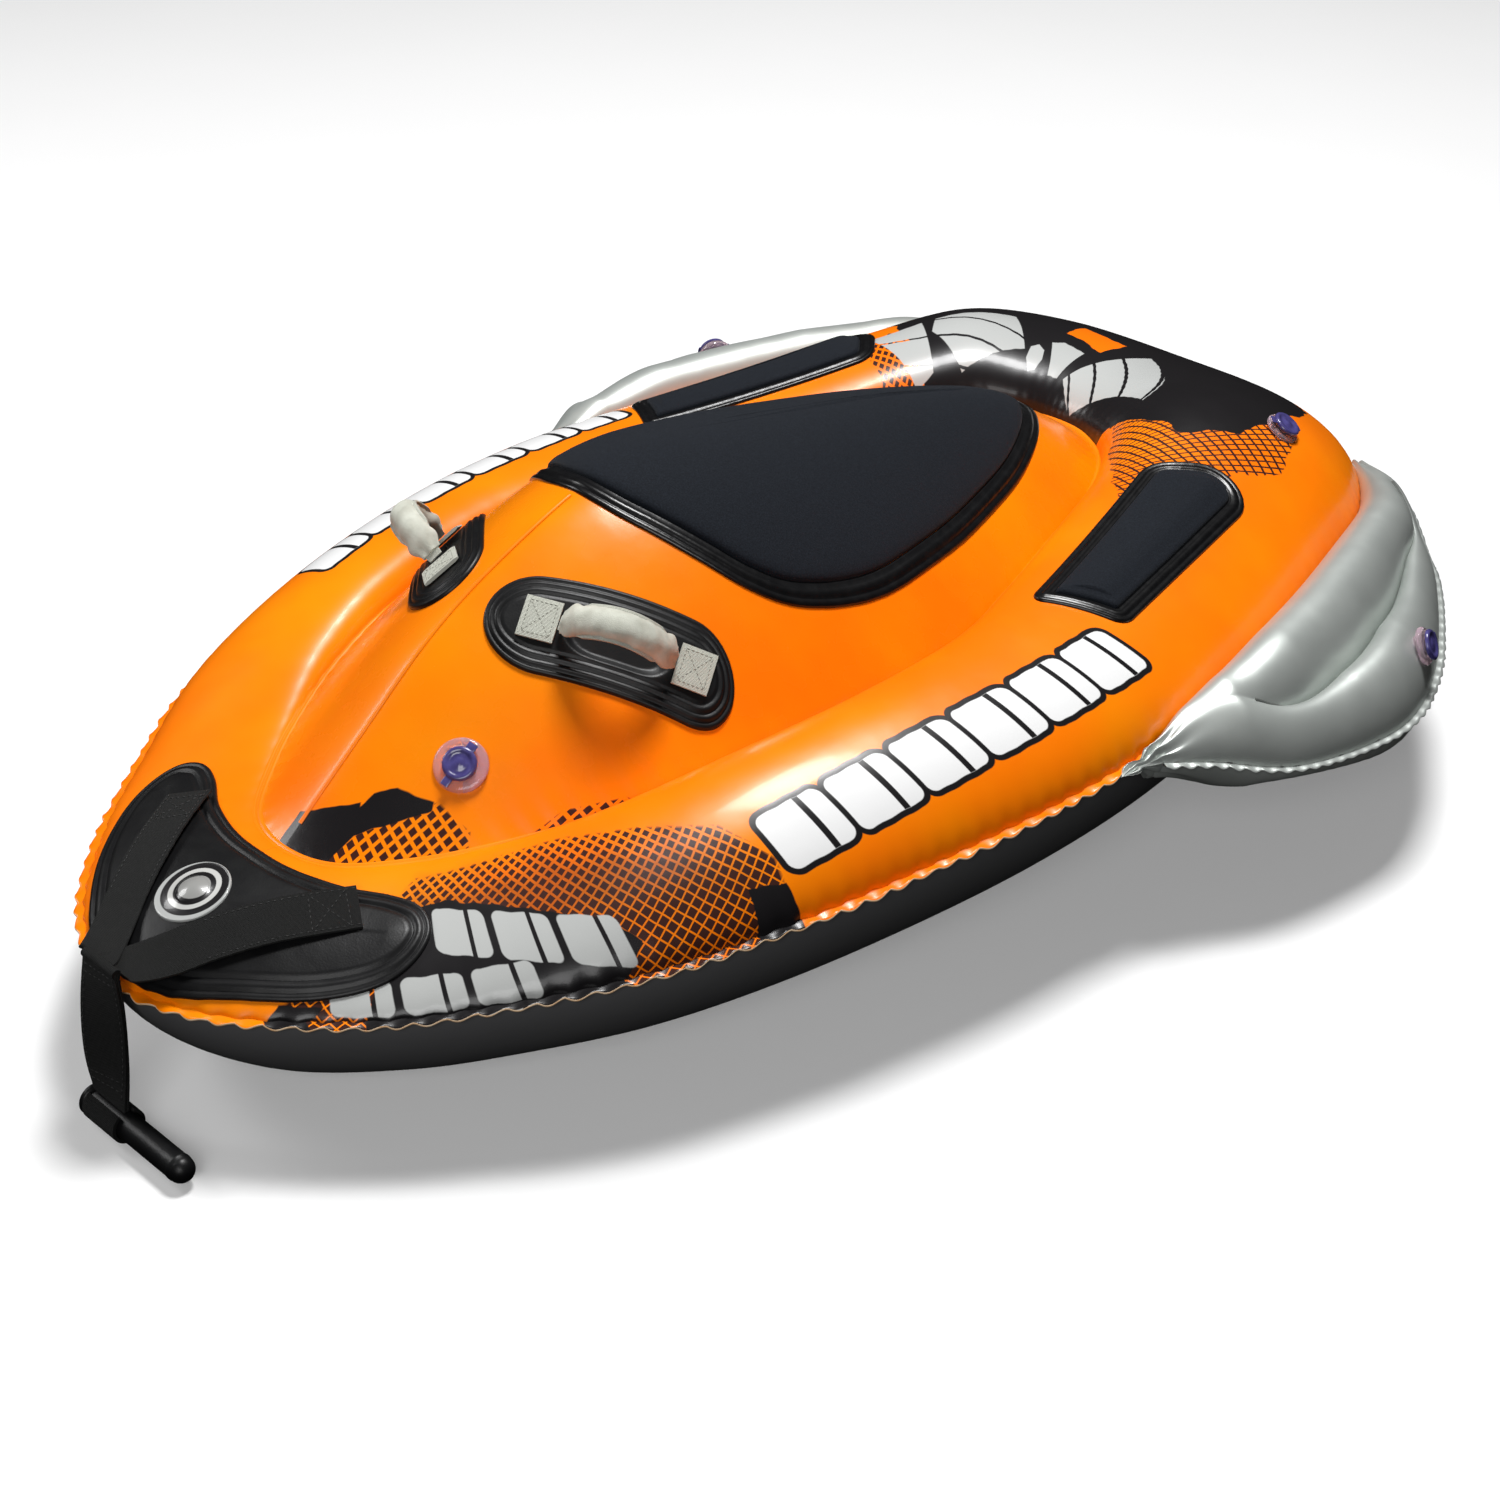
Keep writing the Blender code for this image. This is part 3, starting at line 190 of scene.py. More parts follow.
def outward(steps):
    """Unit vectors in plan, at right angles to the steps of a line, pointing outboard."""
    return unit(np.stack([steps[:, 1], -steps[:, 0], np.zeros(len(steps))], axis=1))


def side_normals(loop):
    return outward(np.roll(loop, -1, axis=0) - np.roll(loop, 1, axis=0))


def run_length(points, closed=False):
    """Distance along each row of points from its first one; closed adds the way back."""
    if closed:
        points = np.concatenate([points, points[..., :1, :]], axis=-2)
    step = np.linalg.norm(np.diff(points, axis=-2), axis=-1)
    return np.concatenate([np.zeros(step.shape[:-1] + (1,)), np.cumsum(step, axis=-1)], axis=-1)


STATIONS = even_stations(AROUND)
SEAM_LOOP = around(SEAM, STATIONS)
GUTTER_LOOP = around(GUTTER, STATIONS)
BOTTOM_LOOP = around(BOTTOM, STATIONS)
GIRTH = run_length(SEAM_LOOP, closed=True)[-1]
RUN = np.linspace(0, GIRTH, AROUND, endpoint=False)


def eased(value, low, high):
    """0 below low, 1 above high, with a smooth change between."""
    t = np.clip((value - low) / (high - low), 0.0, 1.0)
    return t * t * (3 - 2 * t)


def wave(phase, seed):
    """Smooth wave without a period, of unit size, for uneven edges and folds."""
    parts = 4
    rng = np.random.default_rng(seed)
    out = np.zeros_like(phase)
    for _ in range(parts):
        out += np.sin(phase * rng.uniform(0.5, 1.6) + rng.uniform(0, 6.28)) / parts
    return out


def scallop(run, pitch, seed):
    """Edge that bulges outward between the points where it is pinched, from 0 to 1."""
    uneven = run + 0.18 * pitch * wave(run / pitch * 2.1, seed)
    depth = 0.75 + 0.25 * wave(run / pitch * 1.3, seed + 1)
    return np.abs(np.sin(math.pi * uneven / pitch)) ** 0.8 * depth


def spine_height(y):
    """Height of the centre body's crest."""
    fine = spline(SPINE, np.linspace(0, len(SPINE) - 1, 800))
    return np.interp(y, fine[:, 0], fine[:, 1])


def body_height(x, y):
    """Height of the centre body: its section turns from the hood's to the seat's."""
    half = AROUND // 2 + 1
    gy = GUTTER_LOOP[:half, 1]
    width = np.interp(y, gy, GUTTER_LOOP[:half, 0])
    base = np.interp(y, gy, GUTTER_LOOP[:half, 2])
    power = HOOD_POWER + (SEAT_POWER - HOOD_POWER) * eased(y, -0.40, -0.10)
    share = np.clip(np.abs(x) / np.maximum(width, 1e-6), 0, 1)
    return base + (spine_height(y) - base) * (1 - share ** power)


def puckers(pitch, run_scale, seed):
    """Uneven wave round the craft, of unit size, for the folds beside a weld."""
    return np.cos(TAU * RUN / pitch + wave(RUN * run_scale, seed) * 2)


def deck_surface(rows=40):
    """Skin of the deck ring, seam to gutter, with puckers that fade away from the welds."""
    swell = swell_at(STATIONS)
    side = side_normals(SEAM_LOOP)
    at_seam = 0.0016 * puckers(RIM_PITCH, 9, 3)
    at_gutter = 0.0009 * puckers(GUTTER_PITCH, 7, 5)
    out = []
    for s in np.linspace(0, 1, rows + 1):
        row = SEAM_LOOP + (GUTTER_LOOP - SEAM_LOOP) * (1 - math.cos(math.pi * s)) / 2
        row[:, 2] += swell * math.sin(math.pi * s) + 0.002 * (1 - s)
        row += side * (at_seam * math.exp(-s * 14))[:, None]
        row[:, 2] += at_gutter * math.exp(-(1 - s) * 16)
        out.append(row)
    return np.array(out)


def body_surface(rows=30):
    """Skin of the centre body, from the gutter to the spine; the last row is the spine."""
    place = np.minimum(np.arange(AROUND), AROUND - np.arange(AROUND)) / (AROUND / 2)
    ease = place - 0.06 * np.sin(TAU * place)
    spine = np.stack([np.zeros(AROUND), -0.585 + 1.087 * ease, np.zeros(AROUND)], axis=1)
    folds = 0.0010 * puckers(HOOD_PITCH, 8, 9)
    out = []
    for r in range(rows + 1):
        row = GUTTER_LOOP + (spine - GUTTER_LOOP) * (r / rows)
        row[:, 2] = body_height(row[:, 0], row[:, 1])
        if r > 0:
            row[:, 2] += folds * math.exp(-r * 0.35)
        out.append(row)
    return np.array(out)


def hull_surface(rows=22):
    """Skin of the hull, from the seam round the bilge to the middle of the flat bottom."""
    out = []
    top = SEAM_LOOP - np.array([0, 0, 0.003])
    for k in range(rows + 1):
        angle = 0.5 * math.pi * k / rows
        row = BOTTOM_LOOP + (top - BOTTOM_LOOP) * max(math.cos(angle), 0.0) ** BILGE
        row[:, 2] = top[:, 2] * (1 - math.sin(angle) ** BILGE)
        out.append(row)
    centre = np.stack([np.zeros(AROUND), BOTTOM_LOOP[:, 1] * 0.85, np.zeros(AROUND)], axis=1)
    for share in (0.5, 1.0):
        out.append(BOTTOM_LOOP + (centre - BOTTOM_LOOP) * share)
    return np.array(out)


# ---------------------------------------------------------------- node arithmetic

class Num:
    """A number in a material's node tree. Arithmetic on it adds Math nodes."""

    def __init__(self, tree, socket):
        self.tree = tree
        self.socket = socket

    def op(self, kind, *others, clamp=False):
        node = self.tree.nodes.new("ShaderNodeMath")
        node.operation = kind
        node.use_clamp = clamp
        for slot, value in zip(node.inputs, (self, *others)):
            if isinstance(value, Num):
                self.tree.links.new(value.socket, slot)
            else:
                slot.default_value = value
        return Num(self.tree, node.outputs[0])

    def __add__(self, other):
        return self.op('ADD', other)

    def __sub__(self, other):
        return self.op('SUBTRACT', other)

    def __mul__(self, other):
        return self.op('MULTIPLY', other)

    def abs(self):
        return self.op('ABSOLUTE')

    def frac(self):
        return self.op('FRACT')

    def sin(self):
        return self.op('SINE')

    def min(self, other):
        return self.op('MINIMUM', other)

    def max(self, other):
        return self.op('MAXIMUM', other)

    def above(self, edge, soft):
        """1 where this is above edge, 0 below, with a transition soft wide."""
        return (self - edge).op('MULTIPLY_ADD', 1.0 / soft, 0.5, clamp=True)

    def below(self, edge, soft):
        return (self - edge).op('MULTIPLY_ADD', -1.0 / soft, 0.5, clamp=True)


def uv_of(tree):
    """The two numbers of the mesh's UV layer, which are distances in metres."""
    node = tree.nodes.new("ShaderNodeUVMap")
    node.uv_map = "Run"
    split = tree.nodes.new("ShaderNodeSeparateXYZ")
    tree.links.new(node.outputs[0], split.inputs[0])
    return Num(tree, split.outputs[0]), Num(tree, split.outputs[1])


def place_of(tree):
    """The three coordinates of the point, in the object's own frame."""
    node = tree.nodes.new("ShaderNodeTexCoord")
    split = tree.nodes.new("ShaderNodeSeparateXYZ")
    tree.links.new(node.outputs["Object"], split.inputs[0])
    return tuple(Num(tree, split.outputs[k]) for k in range(3))


def noise_of(tree, scale, detail=2.0, roughness=0.5):
    where = tree.nodes.new("ShaderNodeTexCoord")
    node = tree.nodes.new("ShaderNodeTexNoise")
    node.inputs["Scale"].default_value = scale
    node.inputs["Detail"].default_value = detail
    node.inputs["Roughness"].default_value = roughness
    tree.links.new(where.outputs["Object"], node.inputs["Vector"])
    return Num(tree, node.outputs[0])


def polygon(u, v, corners):
    """Distance inside a convex polygon whose corners run anticlockwise; negative outside."""
    inside = None
    for (u0, v0), (u1, v1) in zip(corners, corners[1:] + corners[:1]):
        length = math.hypot(u1 - u0, v1 - v0)
        edge = v * ((u1 - u0) / length) - u * ((v1 - v0) / length) \
            + ((v1 - v0) * u0 - (u1 - u0) * v0) / length
        inside = edge if inside is None else inside.min(edge)
    return inside


def net(u, v, pitch, share):
    """Mask of small squares on a diagonal grid. share is a square's side over the pitch."""
    step = 1 / (pitch * math.sqrt(2))
    p = ((u + v) * step).frac() - 0.5
    q = ((u - v) * step).frac() - 0.5
    return (p.abs().max(q.abs()) - share * 0.5).below(0.0, 0.06)


def blocks(u, v, u0, pitch, count, gap, centre, half, slant, corner=0.006):
    """Row of rounded slanted blocks along u.

    Returns the distance inside them, negative outside, and the place along a block.
    """
    rise = v - centre
    along = (u - rise * slant - u0) * (1 / pitch)
    place = (along - along.op('FLOOR').max(0.0).min(count - 1.0) - 0.5) * pitch
    local = place.abs() - (pitch / 2 - gap / 2 - corner)
    height = rise.abs() - (half - corner)
    p, q = local.max(0.0), height.max(0.0)
    out = (p * p + q * q).op('SQRT') + local.max(height).min(0.0) - corner
    return out * -1, place


def mix(tree, mask, under, over):
    """Colour that is over where the mask is 1 and under where it is 0."""
    node = tree.nodes.new("ShaderNodeMix")
    node.data_type = 'RGBA'
    tree.links.new(mask.socket, node.inputs[0])
    for slot, colour in ((node.inputs[6], under), (node.inputs[7], over)):
        if isinstance(colour, tuple):
            slot.default_value = (*colour, 1.0)
        else:
            tree.links.new(colour, slot)
    return node.outputs[2]


def mottle(tree, scale, detail, middle, soft, dark, light):
    """Colour between two shades, mixed by a noise."""
    return mix(tree, noise_of(tree, scale, detail).above(middle, soft), dark, light)


def new_material(name, roughness, **values):
    mat = bpy.data.materials.new(name)
    mat.use_nodes = True
    shader = mat.node_tree.nodes["Principled BSDF"]
    shader.inputs["Roughness"].default_value = roughness
    for key, value in values.items():
        shader.inputs[key.replace("_", " ")].default_value = value
    return mat, mat.node_tree, shader


def bump(tree, shader, height, distance):
    node = tree.nodes.new("ShaderNodeBump")
    node.inputs["Distance"].default_value = distance
    tree.links.new(height.socket, node.inputs["Height"])
    tree.links.new(node.outputs[0], shader.inputs["Normal"])


def paint(tree, shader, colour):
    tree.links.new(colour, shader.inputs["Base Color"])


# ---------------------------------------------------------------- colours and materials

ORANGE = (1.0, 0.185, 0.0)
ORANGE_PALE = (1.0, 0.30, 0.0)
INK = (0.010, 0.009, 0.010)
INK_BROWN = (0.045, 0.014, 0.010)
WHITE = (0.86, 0.86, 0.86)
SILVER_INK = (0.46, 0.47, 0.46)
SILVER, SILVER_PALE = (0.54, 0.575, 0.55), (0.62, 0.655, 0.625)
HULL_GREY = (0.110, 0.110, 0.113)


def orange_tint(tree):
    return mottle(tree, 5.0, 3.0, 0.62, 0.5, ORANGE, ORANGE_PALE)


def bow_print(tree, colour, run, rise, wobble):
    """Port bow only: net, black panels and two rows of silver blocks on them."""
    bow = polygon(run, rise, [(0.150, -0.02), (0.640, -0.02), (0.640, 0.064), (0.600, 0.112),
                              (0.520, 0.142), (0.430, 0.160), (0.255, 0.150)])
    smoke = (bow + wobble * 0.06).above(0.020, 0.045) * rise.above(0.055, 0.06) * 0.55
    colour = mix(tree, smoke, colour, INK_BROWN)
    dense = rise.op('MULTIPLY_ADD', -2.4, 0.97).max(0.44).min(0.84)
    colour = mix(tree, net(run, rise, 0.0098, dense) * bow.above(0.0, 0.004), colour, INK_BROWN)

    for corners in ([(0.245, -0.02), (0.470, -0.02), (0.497, 0.030), (0.470, 0.058),
                     (0.300, 0.118), (0.262, 0.112)],
                    [(0.604, -0.02), (0.652, -0.02), (0.643, 0.040), (0.606, 0.044)],
                    [(0.150, -0.02), (0.185, -0.02), (0.205, 0.012), (0.165, 0.016)]):
        panel = polygon(run, rise, corners) + wobble * 0.012
        colour = mix(tree, panel.above(0.0, 0.0012), colour, INK)
    for start, count, tilt, middle, half in ((0.290, 3, -0.27, 0.086, 0.0235),
                                             (0.206, 3, -0.02, 0.022, 0.0175)):
        centre = (run - start) * tilt + middle
        row, place = blocks(run, rise, start, 0.066, count, 0.008, centre, half, -0.35, 0.008)
        cut = (place - 0.010).abs().above(0.0024, 0.0008)
        colour = mix(tree, row.above(0.0, 0.0012) * cut, colour, SILVER_INK)
    return colour


def side_print(tree, colour, run, rise, port):
    """Row of white blocks with a dark outline along each side, each with a slanting cut."""
    s = run.abs()
    x = s - 0.63
    centre = x * 0.135 - (x * x) * 0.15 + 0.0735 + (port * -1 + 1.0) * 0.028
    row, place = blocks(s, rise, 0.640, 0.0822, 6, 0.006, centre, 0.0310, -0.30, 0.010)
    colour = mix(tree, row.above(-0.0062, 0.001), colour, INK)
    colour = mix(tree, row.above(0.0, 0.001), colour, WHITE)
    cut = (place - 0.013).abs().below(0.0034, 0.0008) * row.above(0.0, 0.001)
    colour = mix(tree, cut, colour, INK)
    return colour


def stern_print(tree, colour, run, rise, port, wobble):
    """Nets, a black panel, and silver blocks and a streak on it.

    Its outlines are in distances from the middle of the stern, positive to port.
    """
    across = (run.abs() * -1 + GIRTH / 2) * (port * 2 - 1)
    weave = polygon(across, rise, [(0.360, 0.150), (0.470, 0.138), (0.560, 0.186), (0.650, 0.240),
                                   (0.620, 0.300), (0.450, 0.345), (0.300, 0.420)])
    lines = net(across, rise, 0.0115, 0.74) * -1 + 1.0
    colour = mix(tree, lines * (weave + wobble * 0.03).above(0.0, 0.002), colour, INK_BROWN)
    far = polygon(across, rise, [(-0.560, 0.230), (-0.500, 0.200), (-0.440, 0.420),
                                 (-0.560, 0.420)])
    colour = mix(tree, net(across, rise, 0.0125, 0.66) * (far + wobble * 0.04).above(0.0, 0.002),
                 colour, INK_BROWN)
    panel = polygon(across, rise, [(-0.490, 0.150), (0.235, 0.112), (0.425, 0.205), (0.455, 0.262),
                                   (0.270, 0.420), (-0.470, 0.420)]) + wobble * 0.035
    colour = mix(tree, panel.above(0.0, 0.0015), colour, INK)
    streak = polygon(across, rise, [(-0.170, 0.262), (-0.150, 0.214), (-0.052, 0.220),
                                    (-0.060, 0.268)]) + wobble * 0.03
    colour = mix(tree, streak.above(0.0, 0.0015), colour, ORANGE)
    slit = ((rise - across * 0.45) * (1 / 0.052)).frac()
    for corners, gap in (([(-0.435, 0.262), (-0.420, 0.225), (-0.275, 0.244), (-0.235, 0.330),
                           (-0.385, 0.356)], 0.09),
                         ([(0.028, 0.230), (0.200, 0.296), (0.285, 0.334), (0.040, 0.385),
                           (-0.075, 0.348)], 0.11),
                         ([(-0.178, 0.300), (-0.150, 0.288), (-0.085, 0.290), (-0.100, 0.352),
                           (-0.140, 0.356)], 0.0),
                         ([(-0.222, 0.322), (-0.205, 0.314), (-0.186, 0.322), (-0.180, 0.340),
                           (-0.190, 0.358), (-0.210, 0.364), (-0.225, 0.345)], 0.0),
                         ([(-0.540, 0.205), (-0.445, 0.220), (-0.450, 0.330),
                           (-0.490, 0.335)], 0.07)):
        shape = polygon(across, rise, corners).above(0.0, 0.0015)
        if gap:
            shape = shape * slit.above(gap, 0.02)
        colour = mix(tree, shape, colour, SILVER_INK)
    return colour


def deck_print(tree):
    """Printed pattern of the deck ring, by the distances along it and across it."""
    run, rise = uv_of(tree)
    port = run.above(0.0, 0.001)
    wobble = noise_of(tree, 22.0, 2.0).op('SUBTRACT', 0.5)
    colour = bow_print(tree, orange_tint(tree), run, rise, wobble)
    colour = side_print(tree, colour, run, rise, port)
    return stern_print(tree, colour, run, rise, port, wobble)


def hood_print(tree):
    """Printed pattern of the hood: a black flash and nets low on its port side."""
    x, y, z = place_of(tree)
    wobble = noise_of(tree, 30.0, 2.0).op('SUBTRACT', 0.5)
    colour = orange_tint(tree)
    weave = net(x * 0.9 + y * 0.5, z * 1.25, 0.0098, 0.66)
    front = polygon(x, z, [(0.046, 0.190), (0.150, 0.190), (0.132, 0.222), (0.096, 0.242),
                           (0.050, 0.214)]).min(y * -1 - 0.40)
    side = polygon(x, z, [(0.160, 0.200), (0.235, 0.225), (0.205, 0.238), (0.178, 0.234)])
    colour = mix(tree, weave * front.max(side.min(y * -1 - 0.30)).above(0.0, 0.0015), colour,
                 INK_BROWN)
    for corners in ([(-0.010, 0.170), (0.046, 0.180), (0.054, 0.216), (0.040, 0.237),
                     (-0.010, 0.221)],
                    [(0.036, 0.212), (0.056, 0.217), (0.096, 0.236), (0.093, 0.242),
                     (0.060, 0.250), (0.046, 0.244)]):
        flash = (polygon(x, z, corners) + wobble * 0.006).min(y * -1 - 0.42)
        colour = mix(tree, flash.above(0.0, 0.001), colour, INK)
    return colour


def fabric(name, roughness, coat, colour, **values):
    """Glossy coated fabric: slight unevenness and a faint weave under a smooth face.

    colour(tree) makes the nodes of its colour.
    """
    mat, tree, shader = new_material(name, roughness, Coat_Weight=coat, Coat_Roughness=0.10,
                                     Specular_IOR_Level=0.3, **values)
    bump(tree, shader, noise_of(tree, 9.0, 3.0) + noise_of(tree, 900.0, 2.0) * 0.03, 0.0016)
    rough = noise_of(tree, 24.0, 4.0).op('MULTIPLY_ADD', 0.10, roughness - 0.05)
    tree.links.new(rough.socket, shader.inputs["Roughness"])
    paint(tree, shader, colour(tree))
    return mat


def grained(name, roughness, shades, grain=(), depth=0.0, **values):
    """Material of two mottled shades, which are mottle's arguments after the tree.

    grain lists the noises of its bump: scale, detail and weight.
    """
    mat, tree, shader = new_material(name, roughness, **values)
    if grain:
        parts = [noise_of(tree, scale, detail) * weight for scale, detail, weight in grain]
        bump(tree, shader, sum(parts[1:], parts[0]), depth)
    paint(tree, shader, mottle(tree, *shades))
    return mat


def hull_colour(tree):
    _, _, z = place_of(tree)
    scuffs = noise_of(tree, 60.0, 6.0, 0.7).above(0.60, 0.12) * z.below(0.03, 0.04) * 0.35
    return mix(tree, scuffs, HULL_GREY, (0.10, 0.10, 0.10))


def webbing(name, roughness, dark, light):
    """Woven webbing: ribs along it, and threads across them, by its UV layer. Its colour is
    lighter on them and darker in the grooves between them as painted shade.
    """
    mat, tree, shader = new_material(name, roughness, Sheen_Weight=0.03, Sheen_Roughness=0.4,
                                     Specular_IOR_Level=0.2)
    u, v = uv_of(tree)
    rib = (v * (TAU / 0.0026)).sin().abs()
    pick = (u * (TAU / 0.0017) + (v * (1 / 0.0013)).op('FLOOR') * math.pi).sin()
    thread = rib * 0.7 + pick * 0.3
    bump(tree, shader, thread + noise_of(tree, 800.0, 2.0) * 0.4, 0.0006)
    # Painted shade of the weave: lighter on the tops of ribs and threads, darker in the grooves,
    # with uneven tone from a noise
    weave_shade_and_tone = thread.op('MULTIPLY_ADD', 0.35, 0.35) + noise_of(tree, 60.0, 4.0) * 0.35
    paint(tree, shader, mix(tree, weave_shade_and_tone.max(0.0).min(1.0), dark, light))
    return mat


def badge_print():
    """Plain rings round the dome of the badge."""
    mat, tree, shader = new_material("badge_print", 0.28, Coat_Weight=0.5)
    x, y, _ = place_of(tree)
    y = y - BADGE_Y
    radius = (x * x + y * y).op('SQRT')
    band = radius.above(0.0200, 0.0006) * radius.below(0.0250, 0.0006)
    colour = mix(tree, band, INK, (0.55, 0.55, 0.53))
    colour = mix(tree, radius.above(0.0318, 0.0006), colour, (0.42, 0.43, 0.42))
    colour = mix(tree, radius.below(0.0150, 0.0006), colour, (0.30, 0.30, 0.29))
    paint(tree, shader, colour)
    return mat


def make_materials():
    return {
        "deck": fabric("deck_fabric_printed", 0.31, 0.12, deck_print),
        "hood": fabric("hood_fabric_printed", 0.27, 0.18, hood_print),
        "weld": fabric("weld_orange", 0.36, 0.15, orange_tint),
        "silver": fabric("sponson_silver", 0.42, 0.05, lambda tree: mottle(
            tree, 12.0, 4.0, 0.55, 0.6, SILVER, SILVER_PALE), Metallic=0.62),
        # Bead in the sponson's valley: its dark colour is painted shade of the crease between the
        # lobes
        "valley": fabric("sponson_weld_painted_shade", 0.45, 0.05, lambda tree: mottle(
            tree, 60.0, 3.0, 0.5, 0.5, (0.085, 0.09, 0.085), (0.15, 0.16, 0.15))),
        "hull": fabric("hull_grey", 0.40, 0.05, hull_colour),
        "rim_edge": grained("rim_cut_edge", 0.5, (
            120.0, 3.0, 0.5, 0.5, (0.80, 0.45, 0.20), (0.85, 0.68, 0.48))),
        "neoprene": grained("neoprene", 0.8, (
            700.0, 3.0, 0.55, 0.35, (0.0035, 0.0050, 0.0085), (0.010, 0.0135, 0.020)),
            [(1400.0, 2.0, 1.0), (320.0, 2.0, 0.6)], 0.0004,
            Sheen_Weight=0.03, Sheen_Roughness=0.5, Specular_IOR_Level=0.15),
        "border": grained("border_black", 0.30, (
            90.0, 3.0, 0.6, 0.3, (0.003, 0.003, 0.0035), (0.007, 0.007, 0.0075)),
            [(60.0, 3.0, 1.0)], 0.0006,
            Coat_Weight=0.1, Coat_Roughness=0.15, Specular_IOR_Level=0.35),
        "rubber": grained("moulded_rubber", 0.40, (
            40.0, 5.0, 0.58, 0.25, (0.004, 0.004, 0.0045), (0.0075, 0.00775, 0.0080)),
            [(500.0, 3.0, 0.25), (30.0, 2.0, 1.0)], 0.0005, Specular_IOR_Level=0.30),
        "web_black": webbing("web_black", 0.75, (0.003, 0.003, 0.003), (0.010, 0.0105, 0.010)),
        "web_white": webbing("web_white", 0.85, (0.40, 0.40, 0.34), (0.66, 0.67, 0.59)),
        "sleeve": grained("sleeve_cloth", 0.82, (
            70.0, 4.0, 0.5, 0.5, (0.44, 0.44, 0.37), (0.62, 0.63, 0.55)),
            [(1100.0, 2.0, 1.0), (150.0, 3.0, 0.5)], 0.0005,
            Sheen_Weight=0.1, Sheen_Roughness=0.4),
        "stitch_white": grained("stitch_white", 0.7, (
            900.0, 1.0, 0.5, 0.4, (0.22, 0.22, 0.18), (0.36, 0.36, 0.31))),
        "stitch_black": grained("stitch_black", 0.6, (
            900.0, 1.0, 0.5, 0.4, (0.010, 0.010, 0.010), (0.028, 0.028, 0.028))),
        "valve_clear": grained("valve_clear", 0.12, (
            150.0, 3.0, 0.5, 0.5, (0.80, 0.58, 0.66), (0.92, 0.76, 0.84)),
            Transmission_Weight=0.75, IOR=1.2, Coat_Weight=0.5),
        "valve_violet": grained("valve_violet", 0.22, (
            110.0, 3.0, 0.5, 0.5, (0.045, 0.035, 0.14), (0.085, 0.075, 0.26)),
            [(220.0, 3.0, 1.0)], 0.0003, Coat_Weight=0.4),
        "badge": badge_print(),
        "floor": grained("floor_pale", 0.9, (
            3.0, 2.0, 0.5, 1.0, (0.68, 0.68, 0.68), (0.70, 0.70, 0.70)),
            Emission_Color=(1.0, 1.0, 1.0, 1.0), Emission_Strength=0.20),
    }


MATERIALS = make_materials()


# ---------------------------------------------------------------- mesh builders

def finish_mesh(name, points, faces, corner_uv, material, body, nodes=()):
    """Smooth mesh that rides on a body and replaces the CAD nodes that are named."""
    mesh = bpy.data.meshes.new(name)
    mesh.from_pydata(np.reshape(points, (-1, 3)).tolist(), [], [tuple(f) for f in faces])
    if corner_uv is not None:
        layer = mesh.uv_layers.new(name="Run")
        layer.data.foreach_set("uv", np.asarray(corner_uv, np.float32).ravel())
    mesh.shade_smooth()
    mesh.materials.append(material)
    mesh.validate()
    obj = bpy.data.objects.new(name, mesh)
    bpy.context.scene.collection.objects.link(obj)
    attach(obj, body)
    if nodes:
        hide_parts(*nodes)
    return obj


def grid_faces(rows, cols, closed=True):
    r = np.arange(rows - 1)[:, None]
    c = np.arange(cols if closed else cols - 1)[None, :]
    n = (c + 1) % cols
    a = r * cols + c
    b = r * cols + n
    return np.stack([a, b, b + cols, a + cols], axis=-1).reshape(-1, 4)


def tube_faces(rows, cols):
    """Faces of a closed tube with flat ends."""
    ends = [tuple(range(cols))[::-1], tuple(range((rows - 1) * cols, rows * cols))]
    return [tuple(f) for f in grid_faces(rows, cols)] + ends


def corner_values(uv):
    """UV of each face's corners, from a grid with one column more than the points have."""
    return np.stack([uv[:-1, :-1], uv[:-1, 1:], uv[1:, 1:], uv[1:, :-1]], axis=2)


def wrapped(grid):
    """Grid with its first column again at the end."""
    return np.concatenate([grid, grid[:, :1]], axis=1)


def grid_object(name, points, material, nodes, closed=False, flip=False):
    """Sheet through a grid of points, on the hull."""
    faces = grid_faces(*points.shape[:2], closed)
    if flip:
        faces = faces[:, ::-1]
    return finish_mesh(name, points, faces, None, material, "hull", nodes)


def closed_sheet(name, points, material, nodes, rise0=0.0, flip=False):
    """Closed sheet on the hull, all round the craft.

    Its UV is the distance from the nose along the seam, negative on the starboard half, and
    the distance across the rows, which starts at rise0.
    """
    cols = points.shape[1]
    rise = wrapped(run_length(np.swapaxes(points, 0, 1)).T) + rise0
    run = np.broadcast_to(np.linspace(0, GIRTH, cols + 1), rise.shape)
    corner = corner_values(np.stack([run, rise], axis=-1))
    corner[:, cols // 2:, :, 0] -= GIRTH
    corner = corner.reshape(-1, 4, 2)
    faces = grid_faces(*points.shape[:2])
    if flip:
        faces, corner = faces[:, ::-1], corner[:, ::-1]
    return finish_mesh(name, points, faces, corner, material, "hull", nodes)


def tube(path, radius, sides, squash=1.0):
    """Rings of points about a path, one row per ring. squash widens them sideways."""
    run = directions(path)
    side = unit(np.cross(run, (0.0, 0.0, 1.0)))
    lift = np.cross(side, run) * radius
    angle = np.linspace(0, TAU, sides, endpoint=False)[None, :, None]
    return path[:, None] + (side * (radius * squash))[:, None] * np.cos(angle) \
        + lift[:, None] * np.sin(angle)


def capped(name, rings, material, body, nodes=()):
    """Closed tube through rings of points. Its UV is the distance along and round it."""
    cols = rings.shape[1]
    along = wrapped(run_length(np.swapaxes(rings, 0, 1)).T)
    round_it = run_length(rings, closed=True)
    corner = corner_values(np.stack([along, round_it], axis=-1)).reshape(-1, 2)
    corner = np.concatenate([corner, np.zeros((2 * cols, 2))])
    obj = finish_mesh(name, rings, tube_faces(*rings.shape[:2]), corner, material, body, nodes)
    fix_normals(obj)
    obj.data.set_sharp_from_angle(angle=math.radians(50))
    return obj


